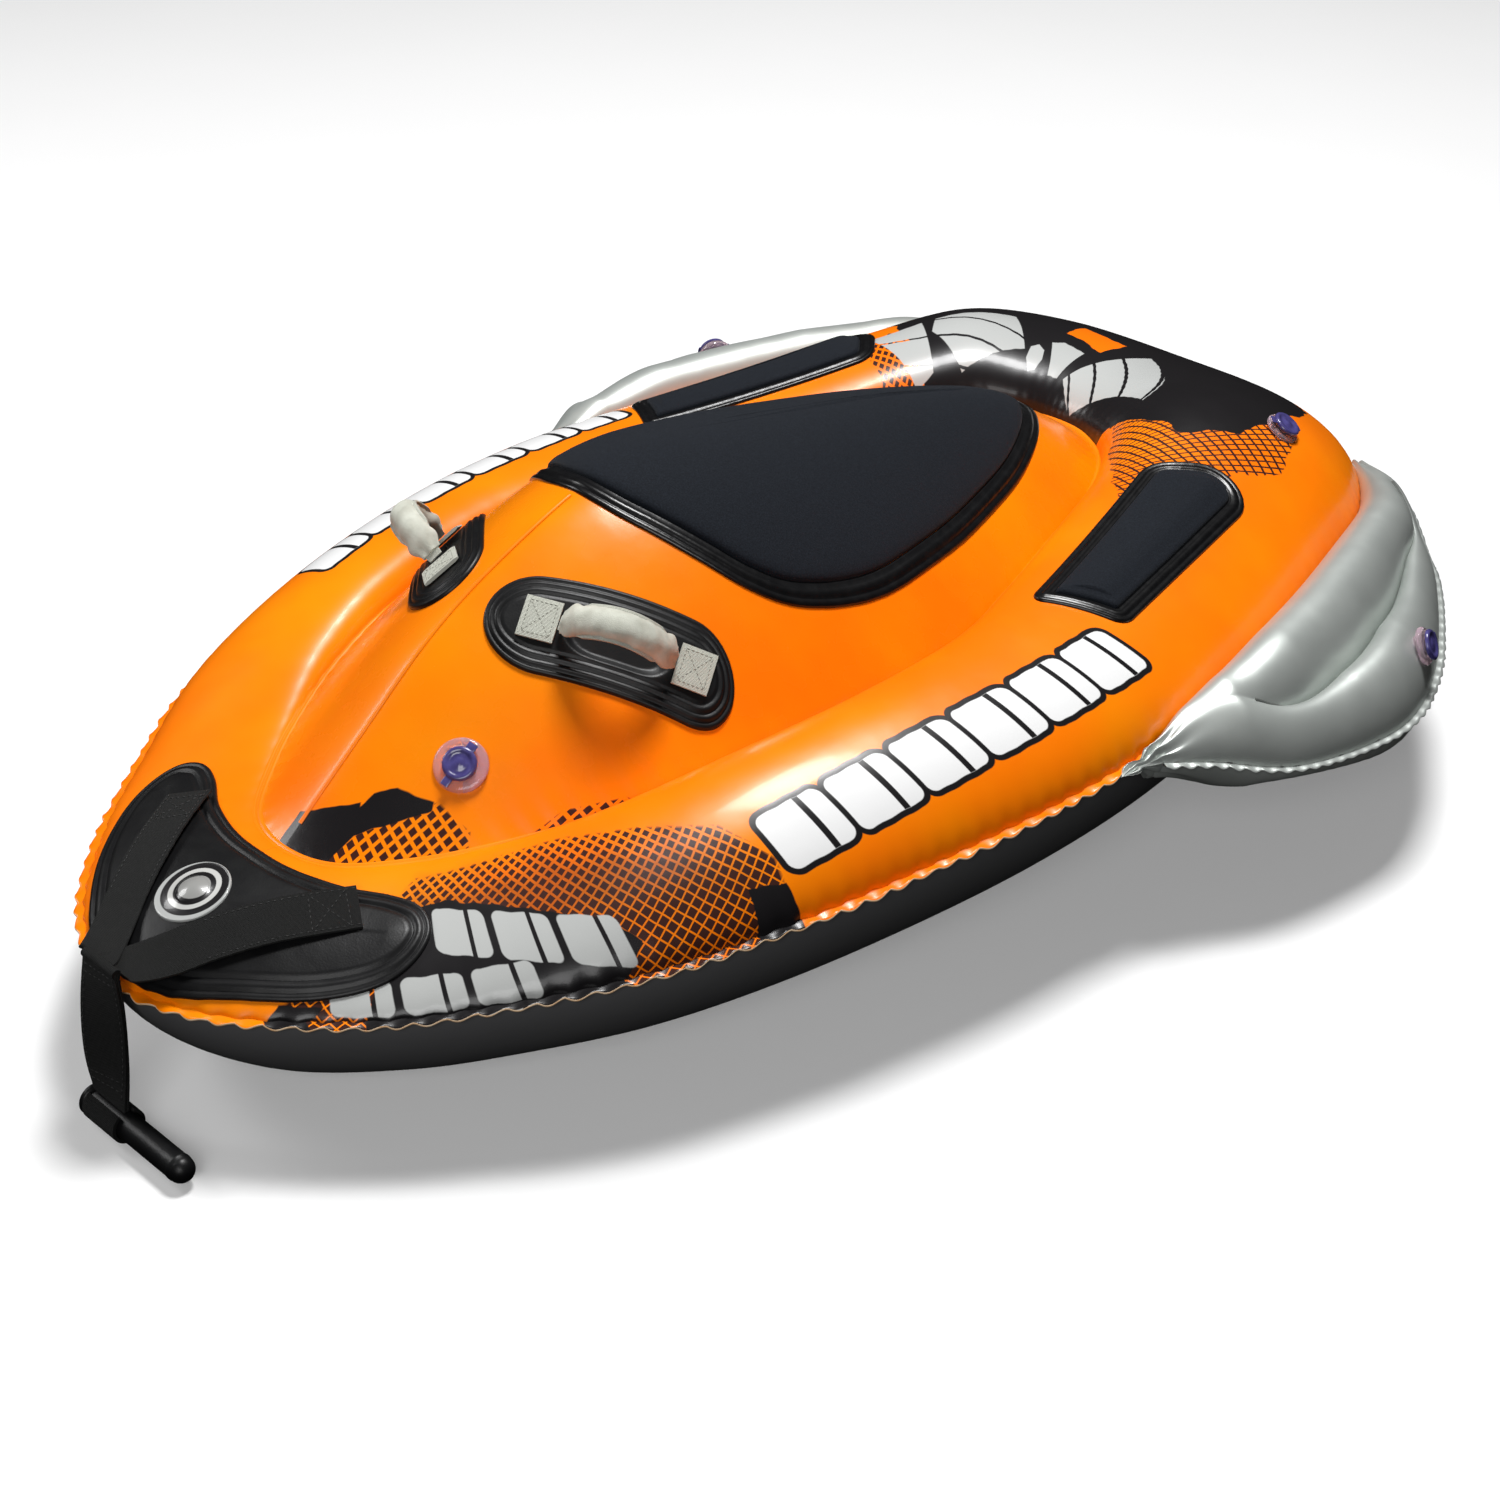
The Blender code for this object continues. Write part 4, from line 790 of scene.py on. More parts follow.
def edit_mesh(obj, change):
    bm = bmesh.new()
    bm.from_mesh(obj.data)
    change(bm)
    bm.to_mesh(obj.data)
    bm.free()


def fix_normals(obj):
    edit_mesh(obj, lambda bm: bmesh.ops.recalc_face_normals(bm, faces=bm.faces))


def surface_probe(points):
    """Function from plan points to points and upward normals on a closed sheet."""
    tree = BVHTree.FromPolygons(points.reshape(-1, 3).tolist(),
                                grid_faces(*points.shape[:2]).tolist())

    def probe(x, y):
        hit, normal, _, _ = tree.ray_cast(Vector((x, y, 2.0)), Vector((0, 0, -1)))
        if hit is None:
            hit, normal, _, _ = tree.find_nearest(Vector((x, y, 0.25)))
        return np.array(hit), np.array(normal if normal.z > 0 else -normal)
    return probe


def lifted(probe, ring, heights):
    """Points over a ring in plan, at one height above the surface or each at its own."""
    out = []
    for (x, y), height in zip(ring, np.broadcast_to(heights, len(ring))):
        hit, normal = probe(x, y)
        out.append(hit + normal * height)
    return out


def outline_turn(outline):
    """Positive where an outline runs anticlockwise."""
    pts = np.asarray(outline, float)
    return np.sum(pts[:, 0] * np.roll(pts[:, 1], -1) - pts[:, 1] * np.roll(pts[:, 0], -1))


def inset(outline, distance):
    """Outline set in by a distance, with mitred corners."""
    pts = np.asarray(outline, float)
    ahead = np.roll(pts, -1, axis=0) - pts
    left = unit(np.stack([-ahead[:, 1], ahead[:, 0]], 1))
    before = np.roll(left, 1, axis=0)
    inward = (left + before) * (1 if outline_turn(pts) > 0 else -1)
    return pts + inward * distance / np.maximum(1 + np.sum(left * before, axis=1), 0.3)[:, None]


def rounded(corners, radii, steps):
    """Arcs that round off the corners of an outline, each of steps + 1 points."""
    out = []
    for i, (corner, radius) in enumerate(zip(corners, radii)):
        a = corners[i - 1] - corner
        b = corners[(i + 1) % len(corners)] - corner
        a /= np.linalg.norm(a)
        b /= np.linalg.norm(b)
        half = 0.5 * math.acos(max(-1, min(1, a @ b)))
        middle = corner + (a + b) / np.linalg.norm(a + b) * radius / math.sin(half)
        start = corner + a * radius / math.tan(half) - middle
        end = corner + b * radius / math.tan(half) - middle
        t0, t1 = math.atan2(start[1], start[0]), math.atan2(end[1], end[0])
        turn = (t1 - t0 + math.pi) % TAU - math.pi
        angle = t0 + turn * np.arange(steps + 1) / steps
        out.append(middle + radius * np.stack([np.cos(angle), np.sin(angle)], axis=1))
    return out


def cornered(corners, radii, distance, steps=10, straight=30):
    """Outline with rounded corners, set in by a distance, always with as many points."""
    tight = [max(r - distance, 0.0025) for r in radii]
    arcs = rounded(inset(corners, distance), tight, steps)
    ring = []
    for arc, after in zip(arcs, arcs[1:] + arcs[:1]):
        ring += list(arc)
        ring += [arc[-1] + (after[0] - arc[-1]) * k / straight for k in range(1, straight)]
    return np.array(ring)


def resample(outline, count):
    """Closed outline with count points at even distances."""
    loop = np.vstack([outline, outline[:1]])
    run = run_length(loop)
    at = np.linspace(0, run[-1], count, endpoint=False)
    return np.stack([np.interp(at, run, loop[:, k]) for k in range(2)], axis=1)


def smooth_outline(half, count):
    loop = mirrored(half)
    return spline(loop, np.linspace(0, len(loop), count, endpoint=False), closed=True)


def nearest_on(path, points):
    """Nearest point of a polyline to each of the points, in plan."""
    found = []
    for a, b in zip(path[:-1], path[1:]):
        a, step = np.array(a), np.array(b) - np.array(a)
        t = np.clip((points - a) @ step / (step @ step), 0, 1)
        found.append(a + t[:, None] * step)
    found = np.array(found)
    nearest = np.linalg.norm(found - points, axis=2).argmin(axis=0)
    return found[nearest, np.arange(len(points))]


def plate(name, edge, medial, probe, profile, inner, height, material, nodes):
    """Closed plate that lies on a surface of the hull.

    edge(distance) is its outline set in by a distance. profile lists (distance, height above
    the surface), and inner how many rings run on from there to the medial line, where
    height(x, y, base, depth) shapes them.
    """
    rows = []
    for distance, rise in [(0.0, SKIRT)] + profile:
        ring = edge(distance)
        rows.append(lifted(probe, ring, rise))
    centre = nearest_on(medial, ring)
    for k in range(1, inner + 1):
        share = 1 - k / inner * 0.965
        inside = centre + (ring - centre) * share
        rows.append(lifted(probe, inside, [height(x, y, profile[-1][1], 1 - share)
                                           for x, y in inside]))
    points = np.array(rows)
    faces = tube_faces(*points.shape[:2])
    plan = points.reshape(-1, 3)[:, :2]
    corner = [plan[i] for face in faces for i in face]
    obj = finish_mesh(name, points, faces, corner, material, "hull", nodes)
    fix_normals(obj)
    return obj


def crowned(rise):
    """Height for a plate that swells by rise towards its medial line."""
    return lambda x, y, base, depth: base + rise * math.sin(min(depth, 1.0) * math.pi / 2)


def ribbon(path, side, up, width, thickness, bulge=0.25):
    """Rings of a flat webbing strip about a path, with thinner edges."""
    steps = 10
    face = [(2 * k / steps - 1, 1) for k in range(steps + 1)]
    profile = face + [(-a, -1) for a, _ in face]
    rings = []
    for p, s, n, w in zip(path, side, up, np.broadcast_to(width, len(path))):
        ring = []
        for a, b in profile:
            edge = 1 - bulge * max(abs(a) - 0.8, 0) / 0.2
            ring.append(p + s * (a * w / 2) + n * (b * thickness / 2 * edge))
        rings.append(ring)
    return np.array(rings)


def sewn(path, side, normals, spots, lift):
    """Path for stitches on the tow webbing, through spots: (step, share of its width)."""
    return [(path[k] + side[k] * STRAP_W * share + normals[k] * lift, normals[k])
            for k, share in spots]


def stitches(name, paths, material, body, length=0.0042, gap=0.0022, radius=0.0006):
    """Rows of short threads. A path lists (point, normal) pairs."""
    verts, faces = [], []
    thread = tube_faces(3, 4)
    for path in paths:
        points = np.array([p for p, n in path], float)
        normals = np.array([n for p, n in path], float)
        run = run_length(points)
        at = 0.5 * gap
        while at + length < run[-1]:
            ends = []
            for d in (at, at + length / 2, at + length):
                p = np.array([np.interp(d, run, points[:, k]) for k in range(3)])
                n = np.array([np.interp(d, run, normals[:, k]) for k in range(3)])
                ends.append((p, n / np.linalg.norm(n)))
            along = ends[2][0] - ends[0][0]
            along /= np.linalg.norm(along)
            faces += [tuple(len(verts) + i for i in face) for face in thread]
            for (p, n), (w, h) in zip(ends, ((0.35, 0.15), (1.0, 1.0), (0.35, 0.15))):
                across = np.cross(along, n)
                verts += [p + across * radius * w, p + n * radius * h, p - across * radius * w,
                          p - n * radius]
            at += length + gap
    fix_normals(finish_mesh(name, verts, faces, None, material, body))


# ---------------------------------------------------------------- chambers

DECK = deck_surface()
BODY = body_surface()
probe_deck = surface_probe(DECK)
probe_body = surface_probe(BODY)


def make_chambers():
    closed_sheet("deck_ring_skin", DECK, MATERIALS["deck"], ["deck_ring"])
    body = closed_sheet("centre_body_skin", BODY, MATERIALS["hood"], ["centre_body"])
    merge_spine(body)
    hull = closed_sheet("hull_skin", hull_surface(), MATERIALS["hull"],
                        ["hull_bottom", "chamber_divider", "baffle_middle", "baffle_port",
                         "baffle_starboard"], flip=True)
    merge_spine(hull)


def merge_spine(obj):
    """Weld the two halves of a sheet along its shared last row."""
    def weld(bm):
        centre = [v for v in bm.verts if abs(v.co.x) < 1e-7]
        bmesh.ops.remove_doubles(bm, verts=centre, dist=1e-5)
    edit_mesh(obj, weld)


def make_rim():
    """Scalloped weld rim between the deck and the hull: two layers and a pale cut edge."""
    seam = around(SEAM, even_stations(RIM_COLUMNS))
    run = np.linspace(0, GIRTH, RIM_COLUMNS, endpoint=False)
    side = side_normals(seam)
    bulge = scallop(run, RIM_PITCH, 11)
    reach = 0.0062 + 0.0050 * bulge
    lift = 0.0016 * np.cos(TAU * run / RIM_PITCH + 1.1) + 0.0012 * wave(run * 26, 4)
    rows = []
    for out, z, share in ((-0.004, 0.0030, 0), (0.0, 0.0020, 0), (0.35, 0.0016, 0.35),
                          (0.7, 0.0013, 0.7), (0.97, 0.0010, 1.0), (1.0, 0.0, 1.0),
                          (0.97, -0.0010, 1.0), (0.6, -0.0013, 0.6), (0.0, -0.0020, 0),
                          (-0.004, -0.0030, 0)):
        distance = reach * out if out > 0 else np.full(RIM_COLUMNS, out)
        row = seam + side * distance[:, None]
        row[:, 2] += z + lift * share
        rows.append(row)
    obj = closed_sheet("seam_rim", np.array(rows), MATERIALS["deck"], ["seam_strip"],
                       rise0=-0.012)
    obj.data.materials.append(MATERIALS["rim_edge"])
    obj.data.materials.append(MATERIALS["hull"])
    kinds = np.zeros((len(rows) - 1, RIM_COLUMNS), int)
    kinds[4:6] = 1
    kinds[6:] = 2
    obj.data.polygons.foreach_set("material_index", kinds.ravel())


def make_gutter():
    """Rounded weld bead between the deck ring and the centre body, with a fine groove."""
    side = side_normals(GUTTER_LOOP)
    rows = []
    for out, z in ((0.0085, -0.006), (0.0072, 0.0012), (0.0052, 0.0042), (0.0030, 0.0054),
                   (0.0012, 0.0050), (0.0004, 0.0034), (-0.0004, 0.0034), (-0.0012, 0.0048),
                   (-0.0030, 0.0050), (-0.0052, 0.0036), (-0.0074, 0.0008), (-0.009, -0.006)):
        row = GUTTER_LOOP + side * out
        row[:, 2] += z
        rows.append(row)
    closed_sheet("gutter_bead", np.array(rows), MATERIALS["weld"], ["gutter_strip"])


def make_seam():
    """Fine raised seam along the crest of the hood."""
    y = np.linspace(-0.575, -0.232, 160)
    path = np.stack([0.0008 * wave(y * 30, 2), y, spine_height(y) + 0.0002], axis=1)
    rings = tube(path, 0.0016, 8, squash=1.5)
    capped("hood_seam", rings, MATERIALS["weld"], "hull")


# ---------------------------------------------------------------- pads

def make_pads():
    seat = resample(smooth_outline(SEAT_HALF, 400), 220)
    make_pad("seat_{}", lambda distance: inset(seat, distance),
             [(0.0, -0.10), (0.0, 0.05), (0.0, 0.36)], probe_body, SEAT_BORDER_W, 0.0075)
    for side, word in SIDES:
        medial = [(0.322 * side, 0.185), (0.270 * side, 0.430)]

        def edge(distance, flip=(side, 1)):
            return cornered(KNEE_CORNERS, KNEE_RADII, distance) * flip

        make_pad("knee_{}_" + word, edge, medial, probe_deck, KNEE_BORDER_W, 0.0070)


def make_pad(names, edge, medial, probe, border_w, foam_h):
    """Pad of foam inside a welded border with two rolled beads."""
    border = [(0.0, SKIRT), (0.0, 0.0012), (0.0012, 0.0030), (0.0040, 0.0038), (0.0058, 0.0026),
              (0.0068, 0.0024), (0.0082, 0.0038), (0.0110, 0.0044), (0.0138, 0.0036),
              (0.0150, 0.0024), (border_w - 0.002, 0.0028), (border_w - 0.0003, 0.0020),
              (border_w, SKIRT)]
    rings = [lifted(probe, edge(distance), rise) for distance, rise in border]
    node = names.format("border")
    grid_object(node + "_welded", np.array(rings + rings[:1]), MATERIALS["border"], [node],
                closed=True, flip=outline_turn(edge(0.0)) > 0)
    foam = [(0.0, 0.0018), (0.0006, 0.0042), (0.0022, 0.0062), (0.0050, foam_h),
            (0.010, foam_h + 0.0010)]
    node = names.format("pad")
    pad = plate(node + "_foam", lambda distance: edge(border_w + distance), medial, probe, foam,
                14, crowned(0.0032), MATERIALS["neoprene"], [node])


# ---------------------------------------------------------------- nose

def make_nose():
    outline = resample(smooth_outline(NOSE_HALF, 600), 300)
    medial = [(0.168, -0.606), (0.105, -0.655), (0.0, -0.700), (-0.105, -0.655), (-0.168, -0.606)]
    ridges = [(0.0, 0.0010), (0.0008, 0.0030), (0.0040, 0.0036), (0.0052, 0.0024),
              (0.0066, 0.0024), (0.0080, 0.0046), (0.0135, 0.0050), (0.0150, 0.0032),
              (0.0164, 0.0032), (0.0182, 0.0058), (0.0230, 0.0062)]
    plate("nose_patch_moulded", lambda distance: inset(outline, distance), medial, probe_deck,
          ridges, 12, crowned(0.0015), MATERIALS["rubber"], ["nose_patch"])
    for side, word in SIDES:
        make_nose_strap(side, word)

    # Round boss with a rim and a domed centre
    circle = [(BADGE_R * math.cos(t), BADGE_Y + BADGE_R * math.sin(t))
              for t in np.linspace(0, TAU, 72, endpoint=False)]
    boss = [(0.0, 0.0072), (0.0004, 0.0090), (0.0012, 0.0096), (0.0020, 0.0092),
            (0.0030, 0.0090), (0.0190, 0.0090), (0.0196, 0.0096)]
    plate("nose_boss", lambda distance: inset(circle, distance),
          [(0, BADGE_Y - 0.0001), (0, BADGE_Y + 0.0001)], probe_deck, boss, 8, crowned(0.0042),
          MATERIALS["badge"], ["nose_badge"])


def make_nose_strap(side, word):
    """Sewn strap from a lobe of the nose patch to the fold at the tip of the nose."""
    start = np.array([0.131 * side, -0.606])
    end = np.array([0.016 * side, -0.786])
    goal = np.array([0.010 + 0.012 * side, -0.799, 0.1765])
    goal_normal = np.array([0, -0.35, 0.94])
    steps = 44
    sewn_steps = int(steps * 0.7)
    path, normals = [], []
    for t in np.arange(steps + 1) / steps:
        x, y = start + (end - start) * t
        hit, normal = probe_deck(x, max(y, -0.772))
        lift = 0.0088 + 0.004 * math.sin(math.pi * min(t * 1.2, 1.0))
        blend = eased(t, 0.74, 1.0)
        path.append((hit + normal * lift) * (1 - blend) + goal * blend)
        normals.append(normal * (1 - blend) + goal_normal * blend)
    path, normals = np.array(path), unit(np.array(normals))
    across = unit(np.cross(directions(path), normals))
    twist = np.clip((np.linspace(0, 1, steps + 1) - 0.75) / 0.25, 0, 1)[:, None]
    level = np.array([1.0, 0, 0]) * np.sign(across[:, :1])
    across = unit(across * (1 - twist) + level * twist)
    rings = ribbon(path, across, normals, STRAP_W * 0.98, WEB_THICK + 0.0002 * side)
    capped("nose_strap_webbing_" + word, rings, MATERIALS["web_black"], "hull",
           ["nose_strap_" + word])

    # Two rows along the edges, then a box with a cross near the lobe
    first, last = 2, 9
    shares = np.linspace(-SEWN, SEWN, 12)
    rows = [sewn(path, across, normals, [(k, share) for k in range(sewn_steps)], 0.0015)
            for share in (-SEWN, SEWN)]
    rows += [sewn(path, across, normals, [(k, share) for share in shares], 0.0015)
             for k in (first, last)]
    for turn in (1, -1):
        rows.append([(path[first] * (1 - f) + path[last] * f
                      + across[5] * STRAP_W * turn * (2 * SEWN * f - SEWN)
                      + normals[5] * 0.0016, normals[5]) for f in np.linspace(0, 1, 12)])
    stitches("nose_stitches_" + word, rows, MATERIALS["stitch_black"], "hull")


# ---------------------------------------------------------------- handles

def make_handles():
    fore, aft = np.array(HANDLE_FORE), np.array(HANDLE_AFT)
    along = (aft - fore) / np.linalg.norm(aft - fore)
    across = np.array([-along[1], along[0]])
    half_w, dish_l, dish_w, dish_depth = 0.038, 0.050, 0.019, 0.0058
    ends = [centre + along * math.cos(t) * over + across * math.sin(t) * half_w
            for centre, turn, over in ((aft, -0.5, 0.040), (fore, 0.5, 0.054))
            for t in math.pi * (turn + np.arange(41) / 40)]
    ridges = [(0.0, 0.0010), (0.0010, 0.0034), (0.0030, 0.0046), (0.0042, 0.0034),
              (0.0052, 0.0034), (0.0064, 0.0056), (0.0084, 0.0062), (0.0096, 0.0046),
              (0.0106, 0.0046), (0.0120, 0.0066), (0.0142, 0.0070), (0.0156, 0.0054),
              (0.0170, 0.0054), (0.0186, 0.0064)]
    for side, word in SIDES:
        flip = np.array([side, 1])
        outline = resample(np.array(ends) * flip, 240)
        middle = (fore + aft) / 2 * flip
        lie = along * flip

        def dished(x, y, base, depth, middle=middle, lie=lie):
            p = np.array([x, y]) - middle
            a, b = p @ lie, p @ np.array([-lie[1], lie[0]])
            dish = max(0.0, 1 - (a / dish_l) ** 4 - (b / dish_w) ** 2)
            return base - dish_depth * min(1.0, dish * 2.2)

        plate("handle_patch_moulded_" + word, lambda d, loop=outline: inset(loop, d),
              [fore * flip, aft * flip], probe_body, ridges, 16, dished, MATERIALS["rubber"],
              ["handle_patch_" + word])
        make_tabs(word)
        make_grip(word)


def corners_of(node):
    """Corners of a CAD node's mesh."""
    return np.array([v.co for v in frame["nodes"][node].data.vertices], float)


def make_tabs(word):
    """Square webbing tabs, each sewn down by a box and a cross."""
    for spot in ("fore", "aft"):
        node = f"handle_tab_{word}_{spot}"
        corners = np.unique(corners_of(node).round(6), axis=0)
        centre = corners.mean(0)

        # From one corner of the flat box, the nearest other one lies through its thickness
        first = corners[0]
        others = sorted(corners[1:] - first, key=np.linalg.norm)
        up, edge = others[0], others[1]
        if abs(edge @ up) > 1e-6:
            edge = others[2]
        up = up / np.linalg.norm(up)
        length = np.linalg.norm(edge)
        u = edge / length
        v = np.cross(up, u)
        wide = np.abs((corners - first) @ v).max()
        normal = up if up[2] > 0 else -up
        path = [centre + u * (length / 2) * f for f in np.linspace(-1, 1, 14)]
        rings = ribbon(path, [v] * 14, [normal] * 14, wide, HANDLE_WEB_THICK, bulge=0.5)
        capped(f"handle_tab_webbing_{word}_{spot}", rings + normal * 0.00032,
               MATERIALS["web_white"], "hull", [node])
        top = centre + normal * 0.0021
        hu, hv = length / 2 - 0.0045, wide / 2 - 0.0045
        spots = [top + u * a + v * b for a, b in ((-hu, -hv), (hu, -hv), (hu, hv), (-hu, hv))]
        rows = [[(spots[i] + (spots[j] - spots[i]) * f, normal) for f in np.linspace(0, 1, 12)]
                for i, j in ((0, 1), (1, 2), (2, 3), (3, 0), (0, 2), (1, 3))]
        stitches(f"handle_stitches_{word}_{spot}", rows, MATERIALS["stitch_white"], "hull",
                 length=0.0032, gap=0.0014, radius=0.00055)


def swing_frame(word):
    """Origin, chord, side and up axes of a handle, and half the length of its webbing."""
    joint = JOINTS[f"handle_{word}_swing"]
    origin = np.array(joint["pos_m"])
    chord = np.array(joint["axis"])
    chord /= np.linalg.norm(chord)
    up = corners_of("handle_sleeve_" + word).mean(0) - origin
    up -= chord * (up @ chord)
    up /= np.linalg.norm(up)
    half = np.abs((corners_of("handle_webbing_" + word) - origin) @ chord).max()
    return origin, chord, np.cross(up, chord), up, half


def make_grip(word):
    """Arched webbing inside a gathered sleeve with a ruffle at each end."""
    origin, chord, side, up, half = swing_frame(word)
    body = "handle_" + word

    def arch(t, reach):
        rise = np.sin(math.pi * t) ** 0.8 * HANDLE_RISE
        path = origin + chord * ((t * 2 - 1) * reach)[:, None] + up * rise[:, None]
        normal = np.cross(directions(path), side)
        return path, normal * np.where(normal @ up < 0, -1, 1)[:, None]

    t = np.linspace(0, 1, 61)
    path, normal = arch(t, half - 0.001)
    width = 0.015 + 0.020 * np.clip(np.minimum(t, 1 - t) / 0.20, 0, 1)
    rings = ribbon(path, np.broadcast_to(side, path.shape), normal, width, HANDLE_WEB_THICK)
    capped("handle_webbing_strip_" + word, rings, MATERIALS["web_white"], body,
           ["handle_webbing_" + word])

    low, high = 0.025, 0.975
    s = np.linspace(low, high, 110)[:, None]
    line, normal = arch(s[:, 0], half)
    inward = np.minimum(s - low, high - s)
    middle = np.sin(np.clip(inward / 0.16, 0, 1) * math.pi / 2)
    half_w = 0.0148 + 0.0022 * np.exp(-((inward - 0.075) / 0.035) ** 2)
    half_w -= 0.0040 * np.exp(-(inward / 0.030) ** 2)
    half_h = 0.0032 + 0.0078 * middle
    ruffle = np.exp(-(inward / 0.016) ** 2)
    folds = np.random.default_rng(17 if word == "port" else 23).uniform(0, 6.28, 6)
    a = np.linspace(0, TAU, 44, endpoint=False)
    crease = 0.0006 * np.sin(5 * a + folds[0] + s * 9) * (1.3 - middle)
    crease += 0.00030 * np.sin(s * 30 + folds[1] + 2.5 * np.sin(a + folds[2]))
    crease += 0.00025 * np.sin(s * 57 + 3 * np.sin(a + folds[3]))
    crease += 0.0008 * ruffle * (0.5 + 0.5 * np.sin(6 * a + folds[4]))
    rings = line[:, None] + side * (np.cos(a) * (half_w + crease))[..., None] \
        + normal[:, None] * (np.sin(a) * (half_h + crease))[..., None]
    sleeve = capped("handle_sleeve_cloth_" + word, rings, MATERIALS["sleeve"], body,
                    ["handle_sleeve_" + word])


# ---------------------------------------------------------------- tow strap and toggle

def arc_about_x(x, radius, angles):
    """Points of an arc about the toggle's axis."""
    return np.array(TOW_FOOT) + np.stack([np.full(len(angles), x), radius * np.cos(angles),
                                          radius * np.sin(angles)], axis=1)


def make_tow():
    """Doubled strap that hangs from the fold, twisting a little, round the toggle's rod."""
    steps = 60
    t = np.linspace(0, 1, steps + 1)
    top, foot = np.array(TOW_TOP), np.array(TOW_FOOT)
    low = foot + np.array([0, 0, TOGGLE_R + 0.0035])
    path = top + (low - top) * t[:, None]
    path[:, 1] -= 0.0035 * np.sin(math.pi * t)
    path[:, 0] += 0.0030 * np.sin(math.pi * t)
    turn = 0.42 * np.sin(math.pi * t) ** 1.2
    side = np.stack([np.cos(turn), np.sin(turn), np.zeros(steps + 1)], axis=1)
    front = unit(np.cross(directions(path), side))
    face = front * -np.sign(front[0, 1])
    width = STRAP_W * (1 - 0.10 * np.sin(math.pi * t))
    for word, gap, nodes in (("front", 0.0017, ["tow_strap"]), ("back", -0.0017, ())):
        capped("tow_strap_" + word, ribbon(path + face * gap, side, front, width, WEB_THICK),
               MATERIALS["web_black"], "tow_strap", nodes)
    roll = top + np.outer(np.linspace(-STRAP_W / 2, STRAP_W / 2, 6), (1.0, 0.0, 0.0))
    capped("tow_strap_fold", tube(roll, 0.0048, 18), MATERIALS["web_black"], "tow_strap")

    # Loop round the rod: an open band with a sewn neck
    angles = np.radians(np.linspace(118, 118 + 304, 48))
    band = [np.concatenate([arc_about_x(x, TOGGLE_R + 0.0044, angles),
                            arc_about_x(x, TOGGLE_R + 0.0010, angles)[::-1]])
            for x in np.linspace(-STRAP_W / 2, STRAP_W / 2, 12)]
    capped("tow_strap_loop", np.array(band), MATERIALS["web_black"], "tow_strap")

    # Rows of stitching across the neck and along both edges
    rows = [sewn(path, side, face, [(k, share) for share in np.linspace(-SEWN, SEWN, 12)], 0.0032)
            for k in (3, 6, 48, 52)]
    rows += [sewn(path, side, face, [(k, share) for k in range(2, steps - 4)], 0.0032)
             for share in (-0.40, 0.40)]
    stitches("tow_stitches", rows, MATERIALS["stitch_black"], "tow_strap")

    # Toggle: rod with a collar, a moulding line and a rounded end
    x0, x1 = TOGGLE_X
    end = x1 - TOGGLE_R
    profile = [(x0, 0.0002), (x0, COLLAR_R - 0.004), (x0 + 0.0008, COLLAR_R - 0.0015),
               (x0 + 0.0022, COLLAR_R), (x0 + 0.0055, COLLAR_R), (x0 + 0.0072, COLLAR_R - 0.0012),
               (x0 + 0.0080, TOGGLE_R)]
    profile += [(x, TOGGLE_R) for x in np.linspace(x0 + 0.012, end - 0.006, 10)]
    profile += [(end - 0.0045, TOGGLE_R + 0.0005), (end - 0.002, TOGGLE_R + 0.0005),
                (end - 0.0005, TOGGLE_R - 0.0004)]
    profile += [(end + TOGGLE_R * math.sin(a), max(TOGGLE_R * math.cos(a), 0.0002))
                for a in np.arange(1, 10) * math.pi / 18]
    around_rod = np.linspace(0, TAU, 36, endpoint=False)
    capped("toggle_rod", np.array([arc_about_x(x, r, around_rod) for x, r in profile]),
           MATERIALS["rubber"], "tow_toggle", ["tow_toggle"])


# ---------------------------------------------------------------- sponsons

def plan_out(stations):
    """Unit normals of the seam in plan, pointing outboard, at the given stations."""
    return outward(around(SEAM, stations + 0.05) - around(SEAM, stations - 0.05))


def sponson_edges(up):
    """Weld line on the chambers, above or under the seam, and the rim of a port sponson."""
    u = np.linspace(*SPONSON_STATIONS, SPONSON_STEPS + 1)
    seam = around(SEAM, u)
    if up > 0:
        inner = seam + (around(GUTTER, u) - seam) * ((1 - math.cos(SPONSON_WELD_TOP)) / 2)
        inner[:, 2] += swell_at(u) * math.sin(SPONSON_WELD_TOP) + 0.0015
    else:
        flat = around(BOTTOM, u)
        inner = flat + (seam - flat) * math.cos(SPONSON_WELD_UNDER) ** BILGE
        inner[:, 2] = seam[:, 2] * (1 - math.sin(SPONSON_WELD_UNDER) ** BILGE) - 0.0015
    rim = spline(SPONSON_RIM, np.linspace(0, len(SPONSON_RIM) - 1, SPONSON_STEPS + 1))
    return inner, rim


def bulged(start, end, share, height):
    """Point of a round lobe between two edges, height above their line at its middle."""
    p = start + (end - start) * (1 - math.cos(math.pi * share)) / 2
    p[2] += height * math.sin(math.pi * share)
    return p


